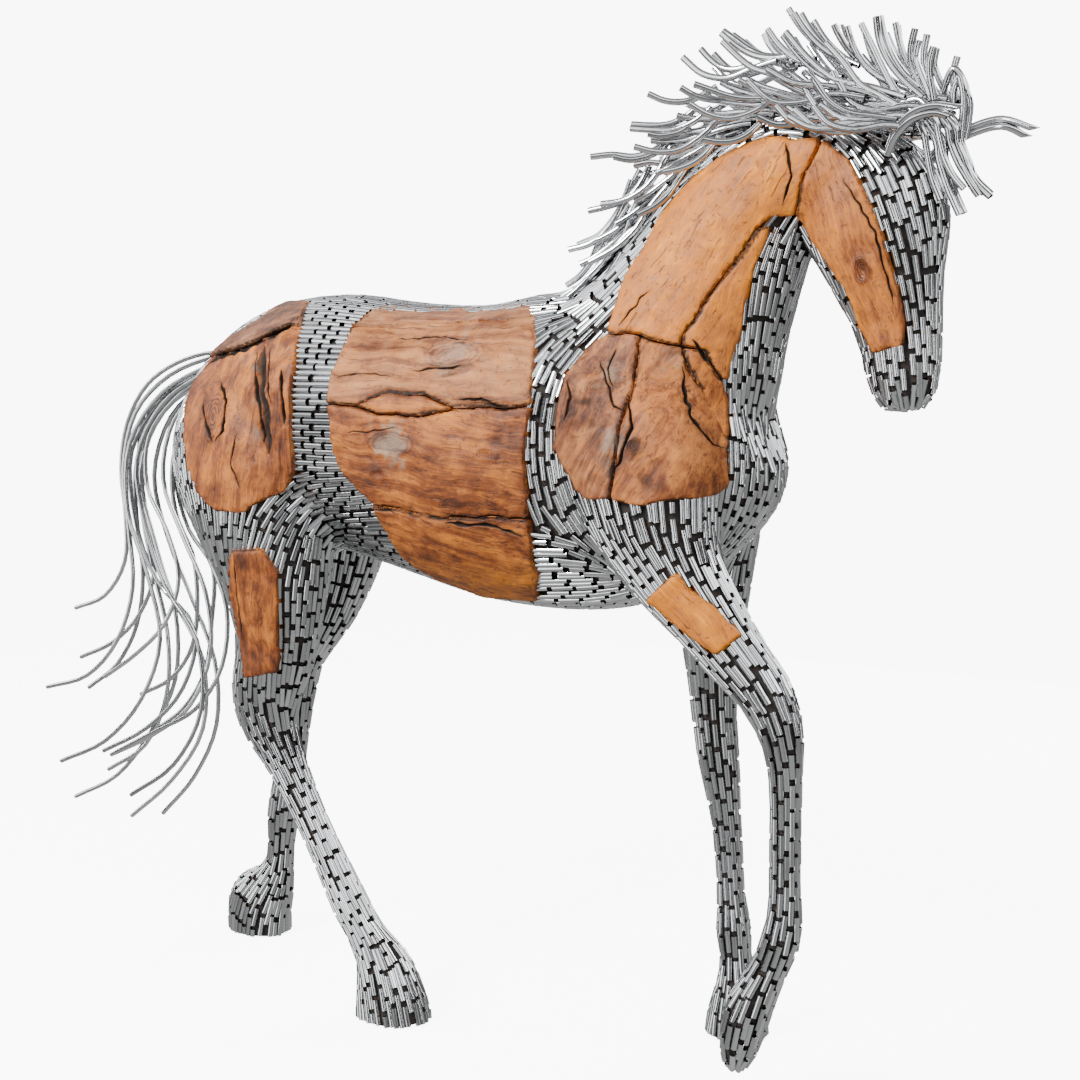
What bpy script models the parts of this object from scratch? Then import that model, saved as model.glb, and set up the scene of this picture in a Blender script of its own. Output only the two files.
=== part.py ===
"""Walking horse, life size, made of short stainless steel tubes welded edge to edge over a hollow
form, with slabs of teak root set into its sides, a mane and tail of bent rods, and tube ears.

The horse faces +X, its left side is +Y, and it stands on three hooves at Z = 0.
Its off (right) fore foot is lifted.
"""

import math

import bmesh
import bpy
import numpy as np
from mathutils import Matrix, Vector
from mathutils.bvhtree import BVHTree

WITHERS = 1.60            # height of the back over the forelegs
UNIT = WITHERS / 100.0    # the figure's places and girths below are hundredths of that height

SKIN_CELL = 0.012         # grain at which limbs, trunk and neck flow into one another
SKIN_FACETS = 1700        # facets on the steel body
CORE_FACETS = 700         # facets on the form behind the slabs

SLAB_THICK = 0.034        # teak root slab, front to back
SLAB_PROUD = 0.007        # how far a slab stands out of the tube skin
SLAB_CRACK = 0.003        # dark line between neighbouring slabs
FIT = 0.0003              # clearance between pieces that touch
BLOCK_REACH = 60          # beyond the widest flank, in UNITs
CRISP = 35                # edges sharper than this, in degrees, stay crisp

TUBE_RADIUS = 0.00375 * WITHERS   # tube of the skin, mane and ears
MANE_STRANDS = 28
MANE_LENGTH = 0.15 * WITHERS
MANE_SPREAD = 13          # degrees from the middle row of mane tubes to the rows beside it
FORELOCK_TUBES = 5
TAIL_RODS = 14
TAIL_RADIUS = 0.00406 * WITHERS
TAIL_LENGTH = 0.775 * WITHERS


def clear_scene():
    for thing in list(bpy.data.objects):
        bpy.data.objects.remove(thing, do_unlink=True)


def steel(name, rough=0.28):
    mat = bpy.data.materials.new(name)
    mat.use_nodes = True
    shader = mat.node_tree.nodes["Principled BSDF"]
    shader.inputs["Base Color"].default_value = (0.55, 0.56, 0.57, 1.0)
    shader.inputs["Metallic"].default_value = 1.0
    shader.inputs["Roughness"].default_value = rough
    return mat


def teak(name):
    mat = bpy.data.materials.new(name)
    mat.use_nodes = True
    shader = mat.node_tree.nodes["Principled BSDF"]
    shader.inputs["Base Color"].default_value = (0.42, 0.17, 0.06, 1.0)
    shader.inputs["Roughness"].default_value = 0.5
    return mat


def smooth_path(rows, steps):
    """Catmull-Rom curve through rows of numbers, with `steps` rows per stretch."""
    pts = np.array(rows, dtype=float)
    ends = np.vstack([2 * pts[0] - pts[1], pts, 2 * pts[-1] - pts[-2]])
    out = []
    for i in range(1, len(ends) - 2):
        a, b, c, d = ends[i - 1:i + 3]
        for k in range(steps):
            t = k / steps
            out.append(0.5 * (2 * b + (c - a) * t + (2 * a - 5 * b + 4 * c - d) * t ** 2
                              + (3 * b - a - 3 * c + d) * t ** 3))
    out.append(ends[-2])
    return np.array(out)


def add_limb(bm, stations, grow=0.0, around=28, steps=4, square=2.15):
    """Closed loft of rounded rings; a station is (x, y, z, half width, half depth) in UNITs."""
    path = smooth_path(stations, steps)
    path[:, 3:] = np.maximum(path[:, 3:] + grow / UNIT, 0.4)
    path *= UNIT
    middle = path[:, :3]
    along = np.gradient(middle, axis=0)
    rings = []
    for centre, run, (wide, deep) in zip(middle, along, path[:, 3:]):
        run = Vector(run).normalized()
        side = (Vector((0, 1, 0)) - run * run.y).normalized()
        front = side.cross(run)
        ring = []
        for k in range(around):
            turn = 2 * math.pi * k / around
            c, s = math.cos(turn), math.sin(turn)
            u = math.copysign(abs(c) ** (2 / square), c) * wide
            v = math.copysign(abs(s) ** (2 / square), s) * deep
            ring.append(bm.verts.new(Vector(centre) + side * u + front * v))
        rings.append(ring)
    for low, high in zip(rings, rings[1:]):
        for k in range(around):
            n = (k + 1) % around
            bm.faces.new((low[k], low[n], high[n], high[k]))
    bm.faces.new(rings[0][::-1])
    bm.faces.new(rings[-1])


TRUNK = [(-57.5, 0, 79.5, 3, 5), (-54.5, 0, 79.2, 8, 9.7), (-49, 0, 79.6, 11.4, 13.5),
         (-40.5, 0, 80.6, 14.8, 17), (-31, 0, 81.7, 16.6, 17.9), (-22.5, 0, 80.7, 16.7, 18.1),
         (-12.5, 0, 79.2, 17.2, 18.8), (-2.5, 0, 78.2, 17.6, 20.1), (6.5, 0, 78.5, 16.8, 21),
         (15.6, 0, 78.8, 15.2, 20.2), (23.6, 0, 80, 13.6, 17), (29.6, 0, 81.5, 10.8, 12.8),
         (34, 0, 83.5, 6, 7.5)]
NECK = [(14, 0, 83, 13, 15.5), (21.2, 0, 90.3, 11.5, 15.4), (26.5, 0, 99.2, 9.2, 12.1),
        (31, 0, 106.6, 7.5, 10.2), (35.3, 0, 111.6, 6.4, 8), (40.5, 0, 113.6, 5.6, 7),
        (45.5, 0, 112.5, 5.2, 6.2), (49, 0, 109, 4, 5)]
HEAD = [(46, 0, 115.6, 4.2, 5), (48.2, 0, 111, 5.6, 8), (49.2, 0, 106, 5.7, 8.9),
        (50.6, 0, 100, 5, 6.9), (52, 0, 94.5, 4, 5.3), (52.5, 0, 90, 3.6, 4.8),
        (52.8, 0, 87, 3.5, 4.1), (53, 0, 84.6, 2.4, 2.6)]
RIGHT_HIND = [(-39.5, -7, 92, 3, 5), (-39.8, -8.6, 85, 6.6, 11.6), (-39.2, -9.8, 77, 8, 13.8),
              (-37, -10.3, 68, 7.6, 11.2), (-35.2, -10.6, 61, 6.4, 8.8),
              (-34.7, -10.8, 55, 5.3, 7.3), (-35, -10.8, 50, 4.4, 6.4), (-37, -10.8, 43.5, 3.8, 5.6),
              (-36.5, -10.7, 39, 3.3, 4.6), (-33.5, -10.6, 33.5, 2.6, 3.1),
              (-29.5, -10.5, 26.5, 2.2, 2.6), (-25.7, -10.4, 20, 2.3, 2.7),
              (-22.8, -10.3, 15, 2.6, 2.9), (-19.7, -10.3, 10.8, 2.7, 2.8),
              (-17.3, -10.3, 7.6, 3.5, 4), (-16, -10.3, 3.6, 4.2, 5.2), (-15.3, -10.3, -1, 4.6, 5.9)]
LEFT_HIND = [(-39.5, 7, 92, 3, 5), (-40, 8.6, 85, 6.6, 11.6), (-40, 9.2, 76, 8, 13.4),
             (-40.6, 9.3, 67, 7.4, 10.4), (-41, 9.4, 61, 6.4, 8.3), (-42.8, 9.4, 55, 5.2, 6.8),
             (-46.3, 9.4, 49.5, 4.4, 6), (-48.6, 9.4, 44.5, 3.8, 5),
             (-49.5, 9.4, 38, 3.3, 4.3), (-49.3, 9.4, 33, 2.6, 3.1), (-49.6, 9.4, 27, 2.3, 2.6),
             (-51, 9.4, 20, 2.6, 2.8), (-51.6, 9.4, 15.5, 2.2, 2.3), (-52, 9.4, 11, 2.3, 2.5),
             (-54, 9.4, 7.4, 3.6, 4.4), (-56, 9.4, 5, 4.3, 5.4), (-56.3, 9.4, 2.5, 4.3, 5.5),
             (-56.3, 9.4, -1, 4.3, 5.5)]
LEFT_FORE = [(20, 6, 90, 3, 5), (20.8, 7.6, 83, 6.2, 9.2), (21.8, 8.4, 74, 7, 9.2),
             (22.6, 9, 65, 6, 6.6), (23, 9.2, 58, 4.6, 5), (23.1, 9.3, 51, 3.6, 3.8),
             (23.6, 9.3, 43, 3, 3.1), (24.2, 9.4, 38, 2.9, 3), (25.6, 9.4, 28.5, 2.1, 2.2),
             (26.4, 9.4, 18.5, 2, 2.1), (26.7, 9.4, 15.2, 2.5, 2.6), (27.1, 9.4, 10.3, 2.2, 2.3),
             (27.4, 9.4, 6.5, 3, 3.3), (27.4, 9.4, 3, 3.8, 4.2), (27.4, 9.4, -1, 4.1, 4.6)]
RIGHT_FORE = [(20, -6, 90, 3, 5), (21.5, -7.8, 83, 6.4, 9.8), (23.5, -9, 74, 7, 9.6),
              (27.5, -9.9, 65.6, 5.6, 6.4), (31.8, -10.2, 60.4, 4.5, 4.9),
              (36.2, -10.3, 55.3, 3.7, 4.1), (40, -10.2, 51.3, 3.2, 3.6),
              (42, -10.1, 47, 2.6, 3.1), (42.7, -10, 42, 2.1, 2.3), (42.8, -10, 33, 2, 2.1),
              (42.9, -10, 25, 2.1, 2.2), (42.5, -10, 21.5, 2.5, 2.6), (41, -10, 17.5, 2.5, 2.4),
              (38.8, -10, 13.2, 3.7, 2.9), (37.6, -10, 9, 4, 2.7), (37.1, -10, 5.4, 3.3, 2),
              (37, -10, 3.5, 1.6, 1)]
LIMBS = [TRUNK, NECK, HEAD, RIGHT_HIND, LEFT_HIND, LEFT_FORE, RIGHT_FORE]


def evaluated(thing):
    """Swap an object's mesh for what its modifiers make of it."""
    graph = bpy.context.evaluated_depsgraph_get()
    mesh = bpy.data.meshes.new_from_object(thing.evaluated_get(graph))
    thing.modifiers.clear()
    thing.data = mesh
    return thing


def link(name, bm):
    bmesh.ops.recalc_face_normals(bm, faces=bm.faces)
    mesh = bpy.data.meshes.new(name)
    bm.to_mesh(mesh)
    bm.free()
    thing = bpy.data.objects.new(name, mesh)
    bpy.context.scene.collection.objects.link(thing)
    return thing


def form(name, grow, facets, unfold=0):
    """The horse's closed form, `grow` metres fatter all round, with about that many facets.

    `unfold` rounds of easing after the facets are made flatten any that fold over."""
    bm = bmesh.new()
    for stations in LIMBS:
        add_limb(bm, stations, grow)
    body = link(name, bm)
    skin = body.modifiers.new("flow", "REMESH")
    skin.mode = "VOXEL"
    skin.voxel_size = SKIN_CELL
    ease = body.modifiers.new("ease", "SMOOTH")
    ease.factor = 0.5
    ease.iterations = 8
    evaluated(body)
    fewer = body.modifiers.new("facets", "DECIMATE")
    fewer.ratio = facets / (2 * len(body.data.polygons))
    fewer.use_collapse_triangulate = True
    flat = body.modifiers.new("unfold", "SMOOTH")
    flat.factor = 0.5
    flat.iterations = unfold
    return evaluated(body)


def swelled(body, name, grow):
    """Copy of a form with every face moved out by `grow`."""
    copy = bpy.data.objects.new(name, body.data.copy())
    bpy.context.scene.collection.objects.link(copy)
    out = copy.modifiers.new("out", "DISPLACE")
    out.strength = grow
    out.mid_level = 0.0
    return evaluated(copy)


def main_body(thing):
    """Drop the slivers that a cut leaves loose, so that a piece is one closed body."""
    bm = bmesh.new()
    bm.from_mesh(thing.data)
    left, bodies = set(bm.verts), []
    while left:
        reached = [left.pop()]
        for vert in reached:
            for edge in vert.link_edges:
                other = edge.other_vert(vert)
                if other in left:
                    left.remove(other)
                    reached.append(other)
        bodies.append(reached)
    bodies.sort(key=len)
    for loose in bodies[:-1]:
        bmesh.ops.delete(bm, geom=loose, context="VERTS")
    bm.to_mesh(thing.data)
    bm.free()
    return thing


def combine(thing, tool, operation):
    mix = thing.modifiers.new("mix", "BOOLEAN")
    mix.solver = "MANIFOLD"
    mix.operation = operation
    mix.object = tool
    return evaluated(thing)


def drop(*things):
    for thing in things:
        bpy.data.objects.remove(thing, do_unlink=True)


def outset(outline, amount):
    """Outline in metres, moved outwards by `amount` with mitred corners."""
    pts = np.array(outline, dtype=float) * UNIT
    after = np.roll(pts, -1, axis=0)
    area = np.sum(pts[:, 0] * after[:, 1] - after[:, 0] * pts[:, 1])
    edge = after - pts
    edge /= np.linalg.norm(edge, axis=1)[:, None]
    normal = np.column_stack([edge[:, 1], -edge[:, 0]]) * math.copysign(1.0, area)
    before = np.roll(normal, 1, axis=0)
    mitre = normal + before
    scale = amount / np.maximum(1 + np.sum(normal * before, axis=1), 0.35)
    return pts + mitre * scale[:, None]


def block(name, outline, side, inner, amount):
    """Outline in the side view, drawn through from `inner` to well clear of the flank."""
    bm = bmesh.new()
    rings = []
    for y in (side * inner * UNIT, side * BLOCK_REACH * UNIT):
        rings.append([bm.verts.new((x, y, z)) for x, z in outset(outline, amount)])
    bm.faces.new(rings[0])
    bm.faces.new(rings[1][::-1])
    count = len(outline)
    for k in range(count):
        n = (k + 1) % count
        bm.faces.new((rings[0][n], rings[0][k], rings[1][k], rings[1][n]))
    bmesh.ops.triangulate(bm, faces=[f for f in bm.faces if len(f.verts) > 4])
    return link(name, bm)


def slice_box(name, low, high):
    bm = bmesh.new()
    bmesh.ops.create_cube(bm, size=1.0)
    size = Vector(high) - Vector(low)
    centre = (Vector(high) + Vector(low)) / 2
    bmesh.ops.transform(bm, verts=bm.verts, matrix=Matrix.LocRotScale(centre, None, size))
    return link(name, bm)


def rod(points, radius, sides, name="rod"):
    """Closed few-sided rod along points in UNITs, with `radius` in metres."""
    path = [Vector(p) * UNIT for p in points]
    bm = bmesh.new()
    rings = []
    side = Vector((0, 1, 0))
    for i, centre in enumerate(path):
        run = (path[min(i + 1, len(path) - 1)] - path[max(i - 1, 0)]).normalized()
        side = (side - run * side.dot(run)).normalized()
        up = run.cross(side)
        ring = []
        for k in range(sides):
            turn = 2 * math.pi * k / sides
            ring.append(bm.verts.new(centre + (side * math.cos(turn) + up * math.sin(turn)) * radius))
        rings.append(ring)
    for low, high in zip(rings, rings[1:]):
        for k in range(sides):
            n = (k + 1) % sides
            bm.faces.new((low[k], low[n], high[n], high[k]))
    bm.faces.new(rings[0][::-1])
    bm.faces.new(rings[-1])
    return link(name, bm)


def weave(count, turn):
    """Evenly scattered numbers from 0 to 1 that never repeat."""
    return [((k + 1) * turn) % 1.0 for k in range(count)]


# Slab outlines seen from the side, (x, z) in UNITs. Neighbours share the points of the crack
# between them, and each slab is cut back by half a crack.
RIGHT_SLABS = {
    "haunch_cap": [(-47.5, 90.3), (-39.5, 95.5), (-37, 98), (-31.5, 98), (-29, 94.5), (-31.5, 95),
                   (-37, 92.3)],
    "haunch": [(-47.5, 90.3), (-37, 92.3), (-31.5, 95), (-29, 94.5), (-27, 90), (-26.8, 76),
               (-29, 73), (-34.5, 69.7), (-39.5, 69.5), (-42.5, 72), (-44.7, 75.5), (-46.3, 80.5),
               (-47.3, 85)],
    "flank_ridge": [(-21.5, 95), (-20.8, 97.3), (-8, 96.8), (5.2, 97.6), (7, 96), (-8, 95.4)],
    "flank_upper": [(-21.5, 95), (-8, 95.4), (7, 96), (9.2, 92.5), (10.2, 85), (0, 84.5),
                    (-5, 86.1), (-11, 86.1), (-16, 84.7), (-21.2, 84.6), (-21.4, 88.5),
                    (-20.6, 92)],
    "flank_key": [(-16, 84.7), (-11, 86.1), (-5, 86.1), (0, 84.5), (-5.5, 83.5), (-12, 83.5)],
    "flank_lower": [(-21.2, 84.6), (-16, 84.7), (-12, 83.5), (-5.5, 83.5), (0, 84.5), (10.2, 85),
                    (9.8, 71.3), (-2, 70.8), (-14, 72), (-18.8, 76)],
    "belly": [(-14, 72), (-2, 70.8), (9.8, 71.3), (9.4, 64), (6.5, 59.8), (-1.5, 59.8), (-8, 61.6),
              (-12, 65.5), (-13.6, 69.6)],
    "shoulder_rear": [(16.4, 92.5), (18.2, 93.9), (23, 93.7), (23, 86), (22, 73.8), (18.6, 73.8),
                      (16.3, 74.9), (13.8, 79.7), (13.5, 84), (13.8, 88.5)],
    "shoulder": [(23, 93.7), (28, 92.3), (29, 89.8), (33.2, 81), (33.5, 75.7), (31.4, 74.1),
                 (26, 73.6), (22, 73.8), (23, 86)],
    "shoulder_wedge": [(28, 92.3), (30.5, 92), (32.4, 88), (33.2, 81), (29, 89.8)],
    "neck": [(18.2, 93.9), (19.2, 99.3), (22.9, 108), (27.9, 113.4), (33.9, 116.3), (38.5, 117),
             (43.8, 116.6), (40.2, 107.9), (38, 107.9), (36, 106.2), (32.4, 100.3), (28, 94),
             (28, 92.3), (23, 93.7)],
    "throat": [(28, 94), (32.4, 100.3), (36, 106.2), (37.6, 106.8), (36.1, 102.6), (34.2, 94.3),
               (32.4, 88), (30.5, 92), (28, 92.3)],
    "cheek": [(43.8, 116.6), (47.4, 113.9), (50.3, 109.2), (52, 105.2), (54, 96), (53.8, 92.6),
              (50.2, 91.2), (48.5, 94.3), (46.8, 99.5), (43, 104.5), (40.2, 107.9)],
}
LEG_SLABS = {
    "gaskin_right": (-1, 10.8, [(-36.9, 64.7), (-32.2, 64.9), (-30.3, 62), (-31.3, 49.5),
                                (-32, 47.5), (-37.7, 46), (-38, 52), (-38.5, 58.7)]),
    "forearm_right": (-1, 10.3, [(26, 62), (30.2, 65.7), (38, 58.2), (35.6, 55.5)]),
    "gaskin_left": (1, 9.4, [(-43, 64.5), (-38, 65), (-37, 60.5), (-41, 51.5), (-46.6, 47.2),
                             (-48, 49.5), (-45.3, 57.5)]),
    "forearm_left": (1, 10.4, [(20.4, 66), (25.6, 66), (25.3, 54), (21.6, 53.6)]),
}
LEFT_SLABS = {
    "haunch_far": [(-47.5, 90.3), (-38, 97.6), (-30.5, 97.8), (-27, 90), (-26.8, 76), (-30, 72),
                   (-38, 69.5), (-43.5, 73), (-46.5, 81)],
    "flank_upper_far": [(-21.5, 93), (-20.5, 97.2), (-8, 96.8), (5.2, 97.4), (9, 92.5),
                        (10, 84.5), (-6, 83.4), (-21.2, 84.6)],
    "flank_lower_far": [(-21.2, 84.6), (-6, 83.4), (10, 84.5), (9.8, 71.3), (-2, 70.8),
                        (-14, 72), (-18.8, 76)],
    "belly_far": [(-14, 72), (-2, 70.8), (9.8, 71.3), (9.4, 64), (6.5, 59.8), (-1.5, 59.8),
                  (-8, 61.6), (-12.5, 66)],
    "shoulder_rear_far": [(16.4, 92.5), (18.2, 93.9), (23, 93.7), (24, 85), (22.5, 73.8), (16.5, 74.9),
                          (13.6, 81)],
    "shoulder_far": [(23, 93.7), (29.8, 92), (32, 85), (32.4, 76.5), (30, 74), (22.5, 73.8),
                     (24, 85)],
    "neck_far": [(18.2, 93.9), (19.2, 99.3), (22.9, 108), (27.9, 113.4), (33.9, 116.3),
                 (38.5, 117), (43.8, 116.6), (40.2, 107.9), (36, 105.2), (34.5, 96),
                 (29.8, 92), (23, 93.7)],
    "cheek_far": [(43.8, 116.6), (47.4, 113.9), (50.3, 109.2), (52, 105.2), (54, 96),
                  (53.8, 92.6), (50.2, 91.2), (48.5, 94.3), (46.8, 99.5), (43, 104.5),
                  (40.2, 107.9)],
}
RIGHT_GROUPS = [["haunch_cap", "haunch"],
                ["flank_ridge", "flank_upper", "flank_key", "flank_lower", "belly"],
                ["shoulder_rear", "shoulder", "shoulder_wedge", "neck", "throat", "cheek"]]
LEFT_GROUPS = [["haunch_far"], ["flank_upper_far", "flank_lower_far", "belly_far"],
               ["shoulder_rear_far", "shoulder_far", "neck_far", "cheek_far"]]
SPINE_HALF = 3.2          # half the strip of tubes between right and left slabs
CREST_START, CREST_END = 0.14, 0.83    # mane along the neck's length
TAIL_ROOT = (-53.5, 0, 89.5)
EAR_LINE = [(50, 3.8, 112.5), (52.8, 5, 116.5), (56.2, 6.4, 118.2), (61.2, 8, 117.5)]
LEFT_EAR_LEAN = 3.2       # how much further forward the left ear is pricked, at its tip
LIFTED_SOLE_X = 35.6      # plane of the lifted foot's sole, which faces back

def border(outlines):
    """Outer edge of slabs that share the points of their cracks, as one outline."""
    edges = set()
    for outline in outlines:
        pairs = list(zip(outline, outline[1:] + outline[:1]))
        if sum(a[0] * b[1] - b[0] * a[1] for a, b in pairs) < 0:
            pairs = [(b, a) for a, b in pairs]
        edges.update(pairs)
    follow = {a: b for a, b in edges if (b, a) not in edges}
    loop = [min(follow)]
    for _ in range(len(follow) - 1):
        loop.append(follow[loop[-1]])
    return loop


def lay_group(names, slabs, side, inner):
    """Neighbouring slabs between the proud skin and the core, in one pocket of the body; gives
    back the room that they take up."""
    for name in names:
        slab = block(name, slabs[name], side, inner, -SLAB_CRACK / 2)
        combine(slab, skin_out, "INTERSECT")
        main_body(combine(slab, core_out, "DIFFERENCE"))
        slab.data.materials.clear()
        slab.data.materials.append(teak_mat)
    edge = border([slabs[name] for name in names])
    pocket = block("pocket", edge, side, inner - FIT / UNIT, FIT)
    combine(pocket, core, "DIFFERENCE")
    combine(body, pocket, "DIFFERENCE")
    combine(pocket, proud_out, "INTERSECT")
    return pocket


def crest_seat(share, fan):
    """Where a mane tube is welded: its place, and the crest's backward and outward directions."""
    path = smooth_path(NECK, 6)[:, :3]
    at = CREST_START + (CREST_END - CREST_START) * share
    i = min(int(at * (len(path) - 1)), len(path) - 2)
    part = at * (len(path) - 1) - i
    centre = Vector(path[i] * (1 - part) + path[i + 1] * part)
    back = Vector(path[i] - path[i + 1]).normalized()
    up = Vector((back.z, 0, -back.x))
    out = Matrix.Rotation(fan, 3, back) @ up
    hit = tree.ray_cast((centre + out * 30) * UNIT, -out)[0]
    return hit / UNIT, back, out


def swept(start, first, second, length, turns, steps, drift):
    """Curve from `start` whose heading turns from `first` towards `second` by given degrees."""
    points = [start.copy()]
    marks = [m[0] for m in turns]
    angles = [m[1] for m in turns]
    for k in range(steps):
        angle = math.radians(np.interp((k + 0.5) / steps, marks, angles))
        run = (first * math.cos(angle) + second * math.sin(angle) + drift).normalized()
        points.append(points[-1] + run * length / steps)
    return points


def mane():
    tubes = []
    for k, jog in enumerate(weave(MANE_STRANDS, 0.618034)):
        share = (k + 0.5) / MANE_STRANDS
        fan = math.radians(MANE_SPREAD * (k % 3 - 1) + 3 * (jog - 0.5))
        seat, back, out = crest_seat(share, fan)
        rise = 46 + 38 * share + 5 * (jog - 0.5)
        hug = np.interp(share, (0, 0.2, 1), (16, 7, 20))
        turns = [(0, 30), (0.3, hug), (0.5, hug + 6 + 18 * share), (1, rise)]
        length = MANE_LENGTH * (0.85 + 0.3 * jog) / UNIT
        drift = Vector((0, 0.8 * math.sin(fan), 0))
        points = swept(seat - out * 0.2, back, out, length, turns, 4, drift)
        tubes.append(rod(points, TUBE_RADIUS, 3))
    return tubes


def forelock():
    """Tubes from the poll down over the face, their tips flicked forward."""
    tubes = []
    for k in range(FORELOCK_TUBES):
        across = k - (FORELOCK_TUBES - 1) / 2
        y = 1.5 * across
        fall = 1.6 * (k % 2)
        seat = crest_seat(0.97, math.radians(10 * across))[0]
        line = [seat, (48, 0.7 * y, 122.4), (54, y, 120.8), (57.6, y, 116.5),
                (59.4, 1.2 * y, 112 - fall), (62.5, 1.3 * y, 109.3 - fall)]
        tubes.append(rod(line, TUBE_RADIUS, 3))
    return tubes


def tail():
    """Rods that part in five fans, from left to right, from the dock."""
    rods = []
    for k in range(TAIL_RODS):
        reach = 0.16 + 0.84 * k / (TAIL_RODS - 1)
        side = ((2 * k) % 5 - 2) / 2 * (0.6 + 0.4 * reach)
        start = Vector((TAIL_ROOT[0], TAIL_ROOT[1] + 1.5 * side, TAIL_ROOT[2]))
        turns = [(0, 20 + 10 * reach), (0.04 + 0.06 * reach, -18 + 22 * reach),
                 (0.1 + 0.1 * reach, -70 + 30 * reach), (0.2 + 0.16 * reach, -95 + 12 * reach),
                 (0.6, -96 + 4 * reach), (0.8, -68 + 10 * reach), (1, -36 + 24 * reach)]
        length = TAIL_LENGTH * (1.0 - 0.1 * reach) / UNIT
        drift = Vector((0, 0.09 * side - 0.02, 0))
        points = swept(start, Vector((-1, 0, 0)), Vector((0, 0, 1)), length, turns, 6, drift)
        rods.append(rod(points, TAIL_RADIUS, 3))
    return rods


def ear(side, lean):
    """Three tubes laid against one another, their tips cut at different lengths."""
    tubes = []
    near = 0.45 * TUBE_RADIUS / UNIT
    for lift, spread, stagger in ((near, 0, 0), (-near / 2, near, 0.9), (-near / 2, -near, 1.9)):
        points = []
        for k, (x, y, z) in enumerate(EAR_LINE):
            swell = (0.8, 1.1, 1.1, 0.9)[k]
            points.append(Vector((x + lean * k / 3, side * (y + spread * swell), z + lift * swell)))
        points[-1].x -= stagger
        tubes.append(rod(points, TUBE_RADIUS, 6))
    return tubes


def crest_band():
    """Thin saddle of weld and tube ends over the crest that the mane tubes stand on."""
    bm = bmesh.new()
    inner, outer = [], []
    for share in np.linspace(-0.03, 1.03, 11):
        low, high = [], []
        for fan in np.linspace(-MANE_SPREAD - 6, MANE_SPREAD + 6, 5):
            seat, back, out = crest_seat(share, math.radians(fan))
            low.append(bm.verts.new((seat - out * 0.8) * UNIT))
            high.append(bm.verts.new((seat + out * 0.6) * UNIT))
        inner.append(low)
        outer.append(high)
    rows, cols = len(inner), len(inner[0])
    for i in range(rows - 1):
        for j in range(cols - 1):
            for grid in (inner, outer):
                bm.faces.new((grid[i][j], grid[i][j + 1], grid[i + 1][j + 1], grid[i + 1][j]))
    rim = ([(0, j) for j in range(cols)] + [(i, cols - 1) for i in range(1, rows)]
           + [(rows - 1, j) for j in range(cols - 2, -1, -1)] + [(i, 0) for i in range(rows - 2, 0, -1)])
    for (i, j), (m, n) in zip(rim, rim[1:] + rim[:1]):
        bm.faces.new((inner[i][j], inner[m][n], outer[m][n], outer[i][j]))
    return link("band", bm)


def dock():
    """Short stub that gathers the tail rods at the rump."""
    x, y, z = TAIL_ROOT
    return rod([(x + 1, y, z - 1), (x - 1.5, y, z + 0.6), (x - 4, y, z + 1.2)], 4.2 * TAIL_RADIUS, 8)


def fuse(name, pieces):
    whole = pieces[0]
    whole.name = name
    for piece in pieces[1:]:
        combine(whole, piece, "UNION")
        drop(piece)
    whole.data.materials.append(steel_mat)
    return whole


def settle():
    """Bring the middle of the horse's footprint over the origin, and shade it as rounded metal
    and rubbed wood with crisp cut edges."""
    meshes = [thing.data for thing in bpy.data.objects]
    places = np.array([v.co for mesh in meshes for v in mesh.vertices])
    low, high = places.min(axis=0), places.max(axis=0)
    middle = Vector((-(low[0] + high[0]) / 2, -(low[1] + high[1]) / 2, -low[2]))
    for mesh in meshes:
        mesh.transform(Matrix.Translation(middle))
        mesh.shade_smooth()
        mesh.set_sharp_from_angle(angle=math.radians(CRISP))
    return middle


clear_scene()
steel_mat = steel("stainless steel")
teak_mat = teak("oiled teak root")
body = form("steel_body", 0.0, SKIN_FACETS)
core = form("core", SLAB_PROUD - SLAB_THICK, CORE_FACETS, unfold=5)
core_out = swelled(core, "core_out", FIT)
skin_out = swelled(body, "skin_out", SLAB_PROUD)
keep_off = swelled(body, "keep_off", FIT)
proud_out = swelled(body, "proud_out", SLAB_PROUD + FIT)
tree = BVHTree.FromObject(body, bpy.context.evaluated_depsgraph_get())
body.data.materials.append(steel_mat)

taken = []
for side, slabs, groups in ((-1, RIGHT_SLABS, RIGHT_GROUPS), (1, LEFT_SLABS, LEFT_GROUPS)):
    for names in groups:
        taken.append(lay_group(names, slabs, side, SPINE_HALF))
for name, (side, inner, outline) in LEG_SLABS.items():
    taken.append(lay_group([name], {name: outline}, side, inner))

ground = slice_box("ground", (-2, -1, -0.5), (2, 1, 0))
sole = slice_box("sole", (LIFTED_SOLE_X * UNIT - 0.3, -0.3, 0), (LIFTED_SOLE_X * UNIT, -0.05, 0.24))
combine(body, ground, "DIFFERENCE")
combine(body, sole, "DIFFERENCE")
drop(ground, sole)

for name, pieces in (("mane", [crest_band()] + mane() + forelock()), ("tail", [dock()] + tail()),
                     ("ear_right", ear(-1, 0)), ("ear_left", ear(1, LEFT_EAR_LEAN))):
    whole = combine(fuse(name, pieces), keep_off, "DIFFERENCE")
    for room in taken:
        combine(whole, room, "DIFFERENCE")
    main_body(whole)
drop(core, core_out, skin_out, keep_off, proud_out, *taken)
main_body(body)
SHIFT = settle()
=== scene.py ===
import math
import random

import bmesh
import bpy
import numpy as np
from mathutils import Matrix, Vector, noise
from mathutils.bvhtree import BVHTree
from mathutils.kdtree import KDTree


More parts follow.
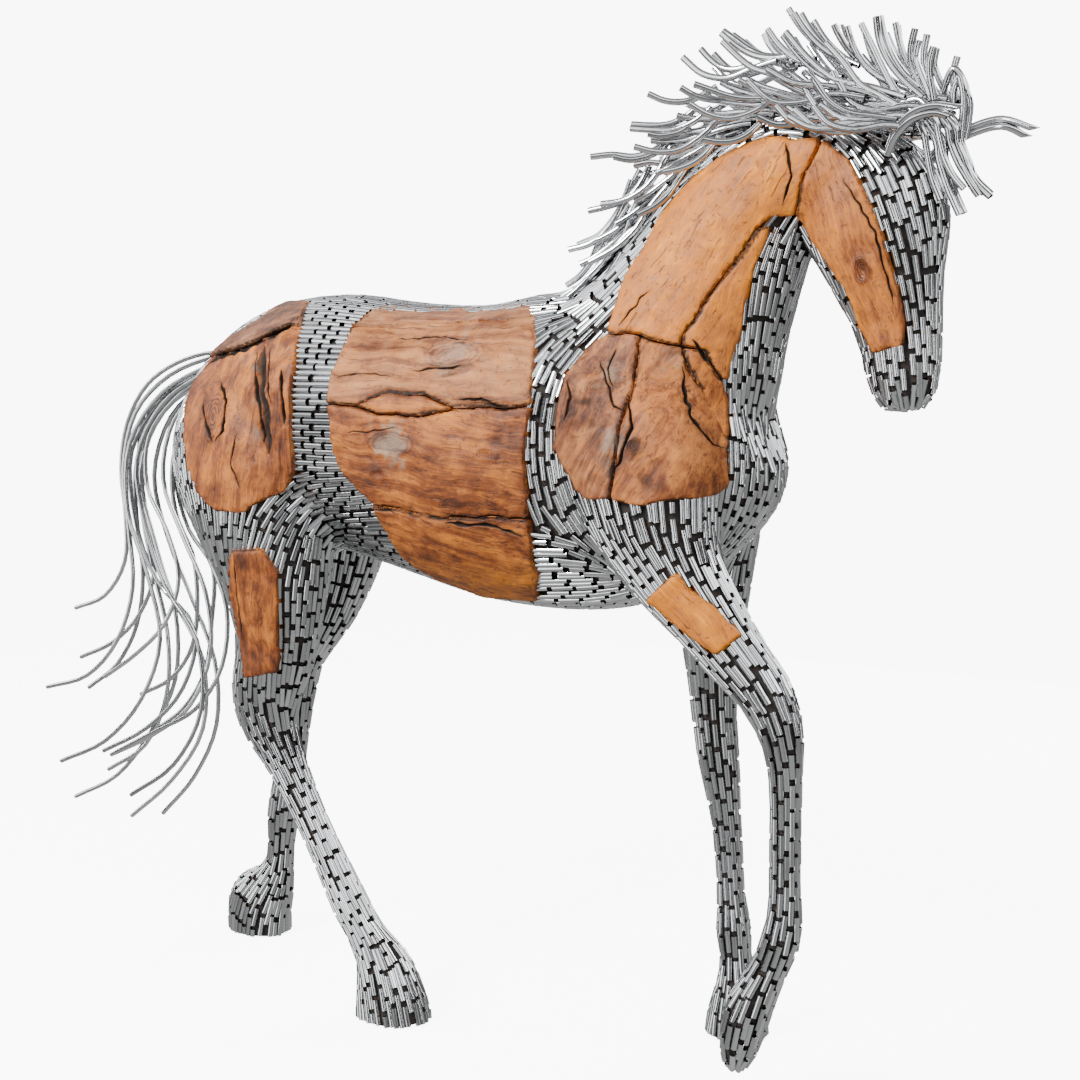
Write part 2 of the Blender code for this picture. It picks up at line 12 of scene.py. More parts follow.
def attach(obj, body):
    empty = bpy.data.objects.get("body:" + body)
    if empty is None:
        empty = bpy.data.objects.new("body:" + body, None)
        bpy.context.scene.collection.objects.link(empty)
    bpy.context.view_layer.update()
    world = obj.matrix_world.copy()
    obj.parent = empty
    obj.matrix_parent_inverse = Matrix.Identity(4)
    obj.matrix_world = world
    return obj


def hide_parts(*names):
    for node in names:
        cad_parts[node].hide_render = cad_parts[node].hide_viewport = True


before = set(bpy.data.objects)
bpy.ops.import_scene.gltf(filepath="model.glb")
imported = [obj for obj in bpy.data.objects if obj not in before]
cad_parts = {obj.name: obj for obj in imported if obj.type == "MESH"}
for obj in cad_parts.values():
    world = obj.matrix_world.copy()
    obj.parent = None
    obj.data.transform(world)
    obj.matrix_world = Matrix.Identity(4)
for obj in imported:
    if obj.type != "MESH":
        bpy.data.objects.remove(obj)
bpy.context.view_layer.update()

# --- Studio ---------------------------------------------------------------------------------
# A plain pale floor that fades into a pale backdrop, under four soft lamps. What the steel
# mirrors is a darker room, with a bright band overhead and a tall screen beside the camera.
# The camera stands at a person's eye height, off the horse's right shoulder.
HEART = Vector((0.182517, 0.003752, 0))     # where the horse's own zero stands in the frame
EYE = HEART + Vector((2.1197, -3.3422, 1.5))
VIEW_WIDE, FOCAL, DROP = 1080, 1850, 205    # the view's width, focal length and tilt, in pixels
LOOK_ROUND, LOOK_DOWN = math.radians(32), math.atan(DROP / FOCAL)
SENSOR = 36.0
FLOOR_WIDE, FLOOR_GLOW = 9, 7.7             # it glows as pale as the backdrop, so no edge shows
BACKDROP = 9.0


class Wire:
    """A shader socket that can be used in sums; new nodes go to the material being made."""
    tree = None

    def __init__(self, socket):
        self.socket = socket

    @classmethod
    def node(cls, kind, settings=None, sockets=None, out=0):
        made = cls.tree.nodes.new(kind)
        for name, value in (settings or {}).items():
            if name == "stops":
                ramp = made.color_ramp
                for k, (at, colour) in enumerate(value):
                    stop = ramp.elements[k] if k < 2 else ramp.elements.new(at)
                    stop.position, stop.color = at, (*colour, 1.0)
            else:
                setattr(made, name, value)
        for name, value in (sockets or {}).items():
            if isinstance(value, Wire):
                cls.tree.links.new(value.socket, made.inputs[name])
            else:
                made.inputs[name].default_value = value
        return cls(made.outputs[out])

    def sum(self, operation, first, second):
        return Wire.node("ShaderNodeMath", {"operation": operation}, {0: first, 1: second})

    def __add__(self, other):
        return self.sum("ADD", self, other)

    def __sub__(self, other):
        return self.sum("SUBTRACT", self, other)

    def __rsub__(self, other):
        return self.sum("SUBTRACT", other, self)

    def __mul__(self, other):
        return self.sum("MULTIPLY", self, other)

    __radd__, __rmul__ = __add__, __mul__

    def stretch(self, low, high, to_low=0.0, to_high=1.0):
        return Wire.node("ShaderNodeMapRange", {"interpolation_type": "SMOOTHSTEP"},
                         {"Value": self, "From Min": low, "From Max": high, "To Min": to_low,
                          "To Max": to_high})


def blend(share, first, second, kind="MIX"):
    """Mix two colours, each a wire or three numbers."""
    mixed = Wire.tree.nodes.new("ShaderNodeMix")
    mixed.data_type, mixed.blend_type = "RGBA", kind
    for place, value in ((0, share), (6, first), (7, second)):    # its factor and its two colours
        socket = mixed.inputs[place]
        if isinstance(value, Wire):
            Wire.tree.links.new(value.socket, socket)
        else:
            socket.default_value = value if isinstance(value, float) else (*value, 1.0)
    return Wire(mixed.outputs[2])


def neutral(level):
    return (level, level, level)


def finish_of(name, colour, **fixed):
    """Start a material: its Principled shader, with the sockets that are the same all over."""
    stuff = bpy.data.materials.new(name)
    stuff.use_nodes = True
    Wire.tree = stuff.node_tree
    shader = stuff.node_tree.nodes["Principled BSDF"]
    shader.inputs["Base Color"].default_value = (*colour, 1.0)
    for socket, value in fixed.items():
        shader.inputs[socket.replace("_", " ")].default_value = value
    return stuff, shader


def feed(shader, **wires):
    for socket, wire in wires.items():
        Wire.tree.links.new(wire.socket, shader.inputs[socket.replace("_", " ")])


def put(name, data):
    """Stand a new object in the scene."""
    thing = bpy.data.objects.new(name, data)
    bpy.context.scene.collection.objects.link(thing)
    return thing


bpy.ops.object.select_all(action="DESELECT")
bpy.ops.mesh.primitive_plane_add(size=FLOOR_WIDE, location=(0, 0, 0))
floor = bpy.context.object
floor.name = "floor"
floor_paint, shader = finish_of("pale floor", neutral(0.9), Roughness=0.9,
                                Emission_Strength=FLOOR_GLOW)
seen = Wire.node("ShaderNodeLightPath", out="Is Camera Ray")
mirrored = Wire.node("ShaderNodeLightPath", out="Is Glossy Ray")
feed(shader, Base_Color=blend(seen, neutral(0.15), neutral(0.95)),
     Emission_Color=blend(seen, neutral(0.0), neutral(1.0)), Alpha=1.0 - mirrored)
floor.data.materials.append(floor_paint)

sky = bpy.data.worlds.new("studio")
bpy.context.scene.world = sky
sky.use_nodes = True
Wire.tree = sky.node_tree
heading = Wire.node("ShaderNodeTexCoord", out="Generated")
east, north, height = (Wire.node("ShaderNodeSeparateXYZ", None, {0: heading}, part)
                       for part in "XYZ")
room = Wire.node("ShaderNodeValToRGB",         # from straight down to straight up
                 {"stops": [(0.0, (0.22, 0.22, 0.21)), (0.36, (0.15, 0.15, 0.145)),
                            (0.46, (0.07, 0.07, 0.068)), (0.57, neutral(0.045)),
                            (0.68, neutral(0.07)), (0.73, neutral(1.35)), (0.79, neutral(1.35)),
                            (0.85, neutral(0.24)), (0.93, neutral(0.14))]},
                 {0: height * 0.5 + 0.5})
left = (east * -0.342 + north * -0.940).stretch(0.945, 0.975)   # a tall screen beside the camera
right = (east * 0.975 + north * 0.225).stretch(0.95, 0.98)      # and one at the horse's head
level = height.stretch(-0.95, -0.8) * height.stretch(0.25, 0.45, 1.0, 0.0)
glow = blend(1.0, room, (2.8, 2.8, 2.85), "MULTIPLY")
glow = blend((left + right * 0.15) * level, glow, (4.4, 4.4, 4.45))
seen = Wire.node("ShaderNodeLightPath", out="Is Camera Ray")
shown = blend(seen, glow, neutral(BACKDROP))
Wire.tree.links.new(shown.socket, sky.node_tree.nodes["Background"].inputs["Color"])
sky.node_tree.nodes["Background"].inputs["Strength"].default_value = 1.0


def lamp(name, power, wide, tall, place, towards):
    light = bpy.data.lights.new(name, "AREA")
    light.shape = "RECTANGLE"
    light.energy, light.size, light.size_y = power, wide, tall
    thing = put(name, light)
    thing.location = place
    thing.rotation_euler = (Vector(towards) - Vector(place)).to_track_quat("-Z", "Y").to_euler()


lamp("key light", 460, 1.2, 1.2, (-1.4, -4.2, 4.4), (0.1, 0, 1.0))
lamp("near strip", 45, 0.35, 3.2, (4.4, -3.0, 1.9), (0.4, 0, 1.1))
lamp("far strip", 70, 0.5, 3.2, (-4.8, -1.6, 1.9), (-0.2, 0, 1.1))
lamp("back light", 160, 2.5, 2.0, (1.5, 4.4, 3.6), (0.1, 0, 1.1))

seat = bpy.data.cameras.new("camera")
seat.sensor_width, seat.lens = SENSOR, SENSOR * FOCAL / VIEW_WIDE
camera = put("camera", seat)
camera.location = EYE
camera.rotation_euler = (math.pi / 2 - LOOK_DOWN, 0, LOOK_ROUND)
bpy.context.scene.camera = camera

# --- Backing shell --------------------------------------------------------------------------
# The welded body under the tubes, hollow on the real horse. Only rusty brown-black shade shows
# through the gaps between the tubes, so here it is one closed form just under them, coloured
# near-black with painted shade.
WITHERS = 1.60
UNIT = WITHERS / 100                        # the tables of places are in hundredths of that height
TUBE = 0.0063                               # radius of the stock tube
SEAT_DEPTH = 0.0065                         # tube centres under the horse's outer form
SHELL_DEPTH = 0.0112                        # and the shade under it
SHELL_CELL, ROUNDING = 0.012, 8             # mesh of the form, and how often it is smoothed
LEAST_GIRTH = 0.4                           # no section is thinner, whatever the curve does
SOLE = 0.002                                # the shade ends this far above the ground
# The limbs' sections: middle (x, y, z), half breadth and half depth.
TRUNK = [(-57.5, 0, 79.5, 3, 5), (-54.5, 0, 79.2, 8, 9.7), (-49, 0, 79.6, 11.4, 13.5),
         (-40.5, 0, 80.6, 14.8, 17), (-31, 0, 81.7, 16.6, 17.9), (-22.5, 0, 80.7, 16.7, 18.1),
         (-12.5, 0, 79.2, 17.2, 18.8), (-2.5, 0, 78.2, 17.6, 20.1), (6.5, 0, 78.5, 16.8, 21),
         (15.6, 0, 78.8, 15.2, 20.2), (23.6, 0, 80, 13.6, 17), (29.6, 0, 81.5, 10.8, 12.8),
         (34, 0, 83.5, 6, 7.5)]
NECK = [(14, 0, 83, 13, 15.5), (21.2, 0, 90.3, 11.5, 15.4), (26.5, 0, 99.2, 9.2, 12.1),
        (31, 0, 106.6, 7.5, 10.2), (35.3, 0, 111.6, 6.4, 8), (40.5, 0, 113.6, 5.6, 7),
        (45.5, 0, 112.5, 5.2, 6.2), (49, 0, 109, 4, 5)]
HEAD = [(46, 0, 115.6, 4.2, 5), (48.2, 0, 111, 5.6, 8), (49.2, 0, 106, 5.7, 8.9),
        (50.6, 0, 100, 5, 6.9), (52, 0, 94.5, 4, 5.3), (52.5, 0, 90, 3.6, 4.8),
        (52.8, 0, 87, 3.5, 4.1), (53, 0, 84.6, 2.4, 2.6)]
RIGHT_HIND = [(-39.5, -7, 92, 3, 5), (-39.8, -8.6, 85, 6.6, 11.6), (-39.2, -9.8, 77, 8, 13.8),
              (-37, -10.3, 68, 7.6, 11.2), (-35.2, -10.6, 61, 6.4, 8.8),
              (-34.7, -10.8, 55, 5.3, 7.3), (-35, -10.8, 50, 4.4, 6.4),
              (-37, -10.8, 43.5, 3.8, 5.6), (-36.5, -10.7, 39, 3.3, 4.6),
              (-33.5, -10.6, 33.5, 2.6, 3.1), (-29.5, -10.5, 26.5, 2.2, 2.6),
              (-25.7, -10.4, 20, 2.3, 2.7), (-22.8, -10.3, 15, 2.6, 2.9),
              (-19.7, -10.3, 10.8, 2.7, 2.8), (-17.3, -10.3, 7.6, 3.5, 4),
              (-16, -10.3, 3.6, 4.2, 5.2), (-15.3, -10.3, -1, 4.6, 5.9)]
LEFT_HIND = [(-39.5, 7, 92, 3, 5), (-40, 8.6, 85, 6.6, 11.6), (-40, 9.2, 76, 8, 13.4),
             (-40.6, 9.3, 67, 7.4, 10.4), (-41, 9.4, 61, 6.4, 8.3), (-42.8, 9.4, 55, 5.2, 6.8),
             (-46.3, 9.4, 49.5, 4.4, 6), (-48.6, 9.4, 44.5, 3.8, 5), (-49.5, 9.4, 38, 3.3, 4.3),
             (-49.3, 9.4, 33, 2.6, 3.1), (-49.6, 9.4, 27, 2.3, 2.6), (-51, 9.4, 20, 2.6, 2.8),
             (-51.6, 9.4, 15.5, 2.2, 2.3), (-52, 9.4, 11, 2.3, 2.5), (-54, 9.4, 7.4, 3.6, 4.4),
             (-56, 9.4, 5, 4.3, 5.4), (-56.3, 9.4, 2.5, 4.3, 5.5), (-56.3, 9.4, -1, 4.3, 5.5)]
LEFT_FORE = [(20, 6, 90, 3, 5), (20.8, 7.6, 83, 6.2, 9.2), (21.8, 8.4, 74, 7, 9.2),
             (22.6, 9, 65, 6, 6.6), (23, 9.2, 58, 4.6, 5), (23.1, 9.3, 51, 3.6, 3.8),
             (23.6, 9.3, 43, 3, 3.1), (24.2, 9.4, 38, 2.9, 3), (25.6, 9.4, 28.5, 2.1, 2.2),
             (26.4, 9.4, 18.5, 2, 2.1), (26.7, 9.4, 15.2, 2.5, 2.6), (27.1, 9.4, 10.3, 2.2, 2.3),
             (27.4, 9.4, 6.5, 3, 3.3), (27.4, 9.4, 3, 3.8, 4.2), (27.4, 9.4, -1, 4.1, 4.6)]
RIGHT_FORE = [(20, -6, 90, 3, 5), (21.5, -7.8, 83, 6.4, 9.8), (23.5, -9, 74, 7, 9.6),
              (27.5, -9.9, 65.6, 5.6, 6.4), (31.8, -10.2, 60.4, 4.5, 4.9),
              (36.2, -10.3, 55.3, 3.7, 4.1), (40, -10.2, 51.3, 3.2, 3.6), (42, -10.1, 47, 2.6, 3.1),
              (42.7, -10, 42, 2.1, 2.3), (42.8, -10, 33, 2, 2.1), (42.9, -10, 25, 2.1, 2.2),
              (42.5, -10, 21.5, 2.5, 2.6), (41, -10, 17.5, 2.5, 2.4), (38.8, -10, 13.2, 3.7, 2.9),
              (37.6, -10, 9, 4, 2.7), (37.1, -10, 5.4, 3.3, 2), (37, -10, 3.5, 1.6, 1)]


def smooth_path(rows, steps):
    """Smooth curve through rows of numbers, with this many steps from one row to the next."""
    pts = np.array(rows, dtype=float)
    ends = np.vstack([2 * pts[0] - pts[1], pts, 2 * pts[-1] - pts[-2]])
    t = np.arange(steps)[:, None] / steps
    out = [0.5 * (2 * b + (c - a) * t + (2 * a - 5 * b + 4 * c - d) * t ** 2
                  + (3 * b - a - 3 * c + d) * t ** 3)
           for a, b, c, d in zip(ends, ends[1:], ends[2:], ends[3:])]
    return np.vstack(out + [pts[-1:]])


def add_limb(bm, sections, around=28, square=2.15):
    """A closed limb with slightly squared rings."""
    path = smooth_path(sections, 4)
    path[:, 3:] = np.maximum(path[:, 3:], LEAST_GIRTH)
    path *= UNIT
    along = np.gradient(path[:, :3], axis=0)
    rings = []
    for row, run in zip(path, along):
        run = Vector(run).normalized()
        side = (Vector((0, 1, 0)) - run * run.y).normalized()
        front = side.cross(run)
        ring = []
        for k in range(around):
            c, s = math.cos(math.tau * k / around), math.sin(math.tau * k / around)
            u = math.copysign(abs(c) ** (2 / square), c) * row[3]
            v = math.copysign(abs(s) ** (2 / square), s) * row[4]
            ring.append(bm.verts.new(Vector(row[:3]) + side * u + front * v))
        rings.append(ring)
    for low, high in zip(rings, rings[1:]):
        for k in range(around):
            n = (k + 1) % around
            bm.faces.new((low[k], low[n], high[n], high[k]))
    bm.faces.new(rings[0][::-1])
    bm.faces.new(rings[-1])


def solid(name, bm, stuff=None):
    mesh = bpy.data.meshes.new(name)
    bm.to_mesh(mesh)
    bm.free()
    if stuff:
        mesh.materials.append(stuff)
    return put(name, mesh)


def only(thing):
    bpy.ops.object.select_all(action="DESELECT")
    thing.select_set(True)
    bpy.context.view_layer.objects.active = thing


def work(thing, kind, **settings):
    """Put a modifier on a piece and apply it."""
    only(thing)
    tool = thing.modifiers.new(kind.lower(), kind)
    for name, value in settings.items():
        setattr(tool, name, value)
    bpy.ops.object.modifier_apply(modifier=tool.name)


def surface_of(mesh):
    """The mesh as a surface on which the nearest place can be found."""
    return BVHTree.FromPolygons([v.co for v in mesh.vertices], [p.vertices for p in mesh.polygons])


def cloud(where, scale, detail=4.0, rough=0.55, warp=0.0):
    return Wire.node("ShaderNodeTexNoise", None, {"Vector": where, "Scale": scale, "Detail": detail,
                                                  "Roughness": rough, "Distortion": warp})


def fasten(steel_piece, node=None):
    """Set a steel piece in its place in the frame, as part of the welded body."""
    steel_piece.data.transform(Matrix.Translation(HEART))
    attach(steel_piece, "root")
    if node:
        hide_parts(node)


bm = bmesh.new()
for limb in (TRUNK, NECK, HEAD, RIGHT_HIND, LEFT_HIND, LEFT_FORE, RIGHT_FORE):
    add_limb(bm, limb)
bmesh.ops.recalc_face_normals(bm, faces=bm.faces)
shell = solid("backing_shell", bm)
work(shell, "REMESH", mode="VOXEL", voxel_size=SHELL_CELL)
work(shell, "SMOOTH", factor=0.5, iterations=ROUNDING)
seat_form = shell.data.copy()               # the surface that the tubes' centres lie on
count = len(seat_form.vertices)
places, normals = np.zeros(count * 3), np.zeros(count * 3)
seat_form.vertices.foreach_get("co", places)
seat_form.vertices.foreach_get("normal", normals)
outer = surface_of(seat_form)
seat_form.vertices.foreach_set("co", places - SEAT_DEPTH * normals)
shell.data.vertices.foreach_set("co", places - SHELL_DEPTH * normals)
skin = surface_of(seat_form)
only(shell)
bpy.ops.object.mode_set(mode="EDIT")
bpy.ops.mesh.select_all(action="SELECT")
bpy.ops.mesh.bisect(plane_co=(0, 0, SOLE), plane_no=(0, 0, 1), use_fill=True, clear_inner=True)
bpy.ops.object.mode_set(mode="OBJECT")

# Painted shade: near-black, as the hollow body's inside looks through the gaps, mottled rust-brown.
shade, shader = finish_of("shade behind the tubes", (0.016, 0.012, 0.01), Roughness=0.85)
rust_and_shade = cloud(Wire.node("ShaderNodeTexCoord", out="Object"), 60.0, 3.0).stretch(0.4, 0.7)
feed(shader, Base_Color=blend(rust_and_shade, (0.010, 0.008, 0.007), (0.03, 0.018, 0.012)))
shell.data.materials.append(shade)
shell.data.shade_smooth()
fasten(shell, "steel_body")

# --- Tube skin ------------------------------------------------------------------------------
# About 4,500 offcuts of 12 mm stainless tube, most 47 mm long, welded side by side in rows that
# are staggered like brickwork. The rows run with the limbs, round the slabs and along the back.
PITCH = 0.0128                              # from one row of tubes to the next
STRIDE = 0.0575                             # from one tube to the next in its row
FACE_STRIDE = 0.88                          # the head's tubes lie closer, by this factor
HEAD_FROM_X, HEAD_FROM_Z = 44, 80           # and the head starts here, in UNITs
GAP = 0.0100                                # open gap between the ends of two tubes
SHORTEST = 0.018                            # shorter remnants are left on their neighbour
SLIP, LIFT = 0.0025, 0.0010                 # how far hand-laid tubes stray along and outwards
WALL = 0.0013                               # of the tube
STEP = 0.005                                # from one measured place to the next along a row
LONGEST_ROW, SHORTEST_ROW = 320, 5          # in steps
END_ROOM, START_ROOM, LAST_ROOM = 0.66, 0.67, 0.71    # least room between two rows, in pitches
SHARPEST = 0.8                              # cosine of the sharpest turn from step to step
TUCK = 0.38                                 # tubes reach this far under a slab's rim, in UNITs
SPINE = 3.2                                 # half the strip of tubes between right and left slabs
GROUND = 0.15                               # no tube reaches under this height, in UNITs
LIFTED_FOOT = (17, 35.6, 15, -3)            # its flat sole faces back: x from, x to, z to, y to
# Outlines of the slabs in the side view, in UNITs.
RIGHT_EDGES = [
    [(-47.5, 90.3), (-39.5, 95.5), (-37, 98), (-31.5, 98), (-29, 94.5), (-27, 90), (-26.8, 76),
     (-29, 73), (-34.5, 69.7), (-39.5, 69.5), (-42.5, 72), (-44.7, 75.5), (-46.3, 80.5),
     (-47.3, 85)],
    [(-21.5, 95), (-20.8, 97.3), (-8, 96.8), (5.2, 97.6), (7, 96), (9.2, 92.5), (10.2, 85),
     (9.8, 71.3), (9.4, 64), (6.5, 59.8), (-1.5, 59.8), (-8, 61.6), (-12, 65.5), (-13.6, 69.6),
     (-14, 72), (-18.8, 76), (-21.2, 84.6), (-21.4, 88.5), (-20.6, 92)],
    [(18.2, 93.9), (19.2, 99.3), (22.9, 108), (27.9, 113.4), (33.9, 116.3), (38.5, 117),
     (43.8, 116.6), (47.4, 113.9), (50.3, 109.2), (52, 105.2), (54, 96), (53.8, 92.6),
     (50.2, 91.2), (48.5, 94.3), (46.8, 99.5), (43, 104.5), (40.2, 107.9), (38, 107.9),
     (36, 106.2), (37.6, 106.8), (36.1, 102.6), (34.2, 94.3), (32.4, 88), (33.2, 81),
     (33.5, 75.7), (31.4, 74.1), (26, 73.6), (22, 73.8), (18.6, 73.8), (16.3, 74.9),
     (13.8, 79.7), (13.5, 84), (13.8, 88.5), (16.4, 92.5)]]
LEFT_EDGES = [
    [(-47.5, 90.3), (-38, 97.6), (-30.5, 97.8), (-27, 90), (-26.8, 76), (-30, 72), (-38, 69.5),
     (-43.5, 73), (-46.5, 81)],
    [(-21.5, 93), (-20.5, 97.2), (-8, 96.8), (5.2, 97.4), (9, 92.5), (10, 84.5), (9.8, 71.3),
     (9.4, 64), (6.5, 59.8), (-1.5, 59.8), (-8, 61.6), (-12.5, 66), (-14, 72), (-18.8, 76),
     (-21.2, 84.6)],
    [(16.4, 92.5), (18.2, 93.9), (19.2, 99.3), (22.9, 108), (27.9, 113.4), (33.9, 116.3),
     (38.5, 117), (43.8, 116.6), (47.4, 113.9), (50.3, 109.2), (52, 105.2), (54, 96),
     (53.8, 92.6), (50.2, 91.2), (48.5, 94.3), (46.8, 99.5), (43, 104.5), (40.2, 107.9),
     (36, 105.2), (34.5, 96), (29.8, 92), (32, 85), (32.4, 76.5), (30, 74), (22.5, 73.8),
     (16.5, 74.9), (13.6, 81)]]
LEG_EDGES = [(-1, 10.8, [(-36.9, 64.7), (-32.2, 64.9), (-30.3, 62), (-31.3, 49.5), (-32, 47.5),
                         (-37.7, 46), (-38, 52), (-38.5, 58.7)]),
             (-1, 10.3, [(26, 62), (30.2, 65.7), (38, 58.2), (35.6, 55.5)]),
             (1, 9.4, [(-43, 64.5), (-38, 65), (-37, 60.5), (-41, 51.5), (-46.6, 47.2),
                       (-48, 49.5), (-45.3, 57.5)]),
             (1, 10.4, [(20.4, 66), (25.6, 66), (25.3, 54), (21.6, 53.6)])]
CHART_CELL, CHART_X, CHART_Z, CHART_WIDE, CHART_TALL = 0.2, -60.0, 40.0, 620, 410


def off_edge(xs, zs, start, end):
    """How far along a straight edge these places lie, 0 to 1, and how far off it."""
    (ax, az), (bx, bz) = start, end
    along = np.clip(((xs - ax) * (bx - ax) + (zs - az) * (bz - az))
                    / ((bx - ax) ** 2 + (bz - az) ** 2), 0, 1)
    return along, np.hypot(xs - ax - along * (bx - ax), zs - az - along * (bz - az))


def chart(outline):
    """Side-view chart of the places inside an outline, a little drawn in."""
    xs = CHART_X + CHART_CELL * (np.arange(CHART_WIDE) + 0.5)
    zs = CHART_Z + CHART_CELL * (np.arange(CHART_TALL) + 0.5)
    gx, gz = np.meshgrid(xs, zs, indexing="ij")
    inside = np.zeros(gx.shape, bool)
    near = np.full(gx.shape, np.inf)
    for start, end in zip(outline, outline[1:] + outline[:1]):
        (ax, az), (bx, bz) = start, end
        if az != bz:
            inside ^= ((az > gz) != (bz > gz)) & (gx < (bx - ax) * (gz - az) / (bz - az) + ax)
        near = np.minimum(near, off_edge(gx, gz, start, end)[1])
    return inside & (near > TUCK)


slab_charts = [(side, SPINE, chart(edge)) for side, edges in ((-1, RIGHT_EDGES), (1, LEFT_EDGES))
               for edge in edges]
slab_charts += [(side, inner, chart(edge)) for side, inner, edge in LEG_EDGES]


def taken(spot):
    """Is this place under a slab, below the ground or behind the lifted sole?"""
    x, y, z = spot[0] / UNIT, spot[1] / UNIT, spot[2] / UNIT
    rear, sole, top, inner = LIFTED_FOOT
    if z < GROUND or (rear < x < sole and z < top and y < inner):
        return True
    i, j = int((x - CHART_X) / CHART_CELL), int((z - CHART_Z) / CHART_CELL)
    if not (0 <= i < CHART_WIDE and 0 <= j < CHART_TALL):
        return False
    return any(side * y > inner and view[i, j] for side, inner, view in slab_charts)


# Which way the rows run: (x, distance from the middle, z, degrees in the side view).
BOTH_SIDES = [(-55, 5, 87, 108), (-56, 4, 80, 100), (-53, 8, 76, 103), (-50, 9, 70, 104),
              (-48, 4, 94, 18), (-40, 3, 97.5, 8), (-30, 3, 99, 0), (-20, 3, 98, -4),
              (-8, 2, 97, -1), (4, 2, 98, 5), (10, 3, 98.5, 14), (14, 5, 99, 32), (17, 5, 102, 46),
              (-25, 12, 94, 2), (-25, 15, 88, 1), (-24.6, 16, 82, 0), (-24.2, 16, 77, -2),
              (-22.5, 15, 72, 8), (-27, 14, 72, 28), (-30.5, 14, 69.5, 48), (-33.5, 14, 67.5, 66),
              (-37, 15, 66.5, 82), (-41, 14, 67, 94), (-45, 13, 71, 102), (-29, 12, 65, 62),
              (-25, 10, 68, 35), (-20, 9, 66, 10), (-22, 3, 63, 4), (-10, 3, 59.5, -2),
              (0, 3, 58, 0), (10, 3, 58.5, 2), (18, 3, 60, 8), (-14, 12, 63, 12),
              (11.5, 15, 66, 2), (12, 13, 61.5, 0), (16, 12, 61, -2), (14.5, 15, 67, -4),
              (11.8, 16, 74, 100), (11.5, 16.5, 80, 92), (11.6, 15, 86, 82), (12.8, 12, 91, 62),
              (15, 9, 95, 50), (17.5, 7, 99, 52), (34, 3, 84, 96), (34, 3, 78, 88),
              (31.5, 3, 71, 68), (27, 3, 65.5, 40), (33.5, 6, 88, 92), (34.5, 5, 94, 86),
              (48, 2, 119, -20), (52.5, 3, 117, -50), (56, 3, 112, -74)]
RIGHT_ONLY = [(15, 15, 71.5, 112), (19, 15, 71.5, 106), (24, 15, 71.5, 104), (29, 13, 71.5, 92),
              (33, 11, 73, 82), (17, 14, 67, 124), (21, 14, 67, 128), (26, 13.5, 67, 128),
              (30, 12, 67, 122), (32, 9, 68, 66)]
LEFT_ONLY = [(16, 15, 71, 100), (20, 15, 70, 94), (25, 15, 70, 90), (29, 13, 71, 86),
             (18, 14, 66, 94), (22, 14, 65, 92), (27, 13, 66, 86)]
NEAR = 2.5                                  # a guide holds fully this far round it, in UNITs
FADE = 2.2                                  # how fast its hold fades further out
guides = []                                 # places, directions and how far each holds
for hints, sides in ((BOTH_SIDES, (-1, 1)), (RIGHT_ONLY, (-1,)), (LEFT_ONLY, (1,))):
    for x, y, z, turn in hints:
        for side in sides:
            slope = math.radians(turn)
            guides.append((x, side * y, z, math.cos(slope), 0, math.sin(slope), NEAR))
for limb, start, reach in ((NECK, 10, 5), (HEAD, 0, 4), (RIGHT_HIND, 14, NEAR),
                           (LEFT_HIND, 12, NEAR), (LEFT_FORE, 12, NEAR), (RIGHT_FORE, 13, NEAR)):
    path = smooth_path(limb, 4)[start:, :3]
    for at, run in zip(path, np.gradient(path, axis=0)):
        guides.append((*at, *(run / np.linalg.norm(run)), reach))
guides = np.array(guides)

centres = np.array([p.center for p in seat_form.polygons])
face_normals = np.array([p.normal for p in seat_form.polygons])
runs = np.zeros_like(centres)               # which way a row runs over each face of the form
BATCH = 4000
for start in range(0, len(centres), BATCH):
    spot = centres[start:start + BATCH]
    away = ((spot[:, None] / UNIT - guides[None, :, :3]) ** 2).sum(axis=2)
    pull = 1.0 / (away + guides[None, :, 6] ** 2) ** FADE
    grain = np.einsum("nm,mi,mj->nij", pull, guides[:, 3:6], guides[:, 3:6])
    up = face_normals[start:start + BATCH]
    aside = np.cross(up, np.where(np.abs(up[:, :1]) < 0.7, [[1.0, 0, 0]], [[0, 1.0, 0]]))
    aside /= np.linalg.norm(aside, axis=1)[:, None]
    across = np.cross(up, aside)
    a = np.einsum("ni,nij,nj->n", aside, grain, aside)
    b = np.einsum("ni,nij,nj->n", aside, grain, across)
    c = np.einsum("ni,nij,nj->n", across, grain, across)
    turn = 0.5 * np.arctan2(2 * b, a - c)
    runs[start:start + BATCH] = aside * np.cos(turn)[:, None] + across * np.sin(turn)[:, None]
runs = [Vector(r) for r in runs]

crowd = {}                                  # measured places of the laid rows, by cell


def cell_of(spot):
    return (math.floor(spot[0] / PITCH), math.floor(spot[1] / PITCH), math.floor(spot[2] / PITCH))


def crowded(spot, reach, row, at):
    """Does another row, or another stretch of this one, lie within reach of this place?"""
    i, j, k = cell_of(spot)
    limit = reach * reach
    for di in (-1, 0, 1):
        for dj in (-1, 0, 1):
            for dk in (-1, 0, 1):
                for other, place, x, y, z in crowd.get((i + di, j + dj, k + dk), ()):
                    if (x - spot[0]) ** 2 + (y - spot[1]) ** 2 + (z - spot[2]) ** 2 < limit:
                        if other != row or abs(place - at) * STEP > 3 * PITCH:
                            return True
    return False


def follow(spot, heading, row, at, way):
    """Walk a row over the form until it meets a slab, the ground or another row."""
    found = []
    for _ in range(LONGEST_ROW):
        spot, up, face, _ = skin.find_nearest(spot + heading * STEP)
        run = runs[face]
        run = (run - up * run.dot(up)).normalized()
        if run.dot(heading) < 0:
            run = -run
        at += way
        sharp = run.dot(heading) < SHARPEST
        if sharp or taken(spot) or crowded(spot, END_ROOM * PITCH, row, at):
            break
        heading = run
        found.append((at, spot, up, run * way))
    return found


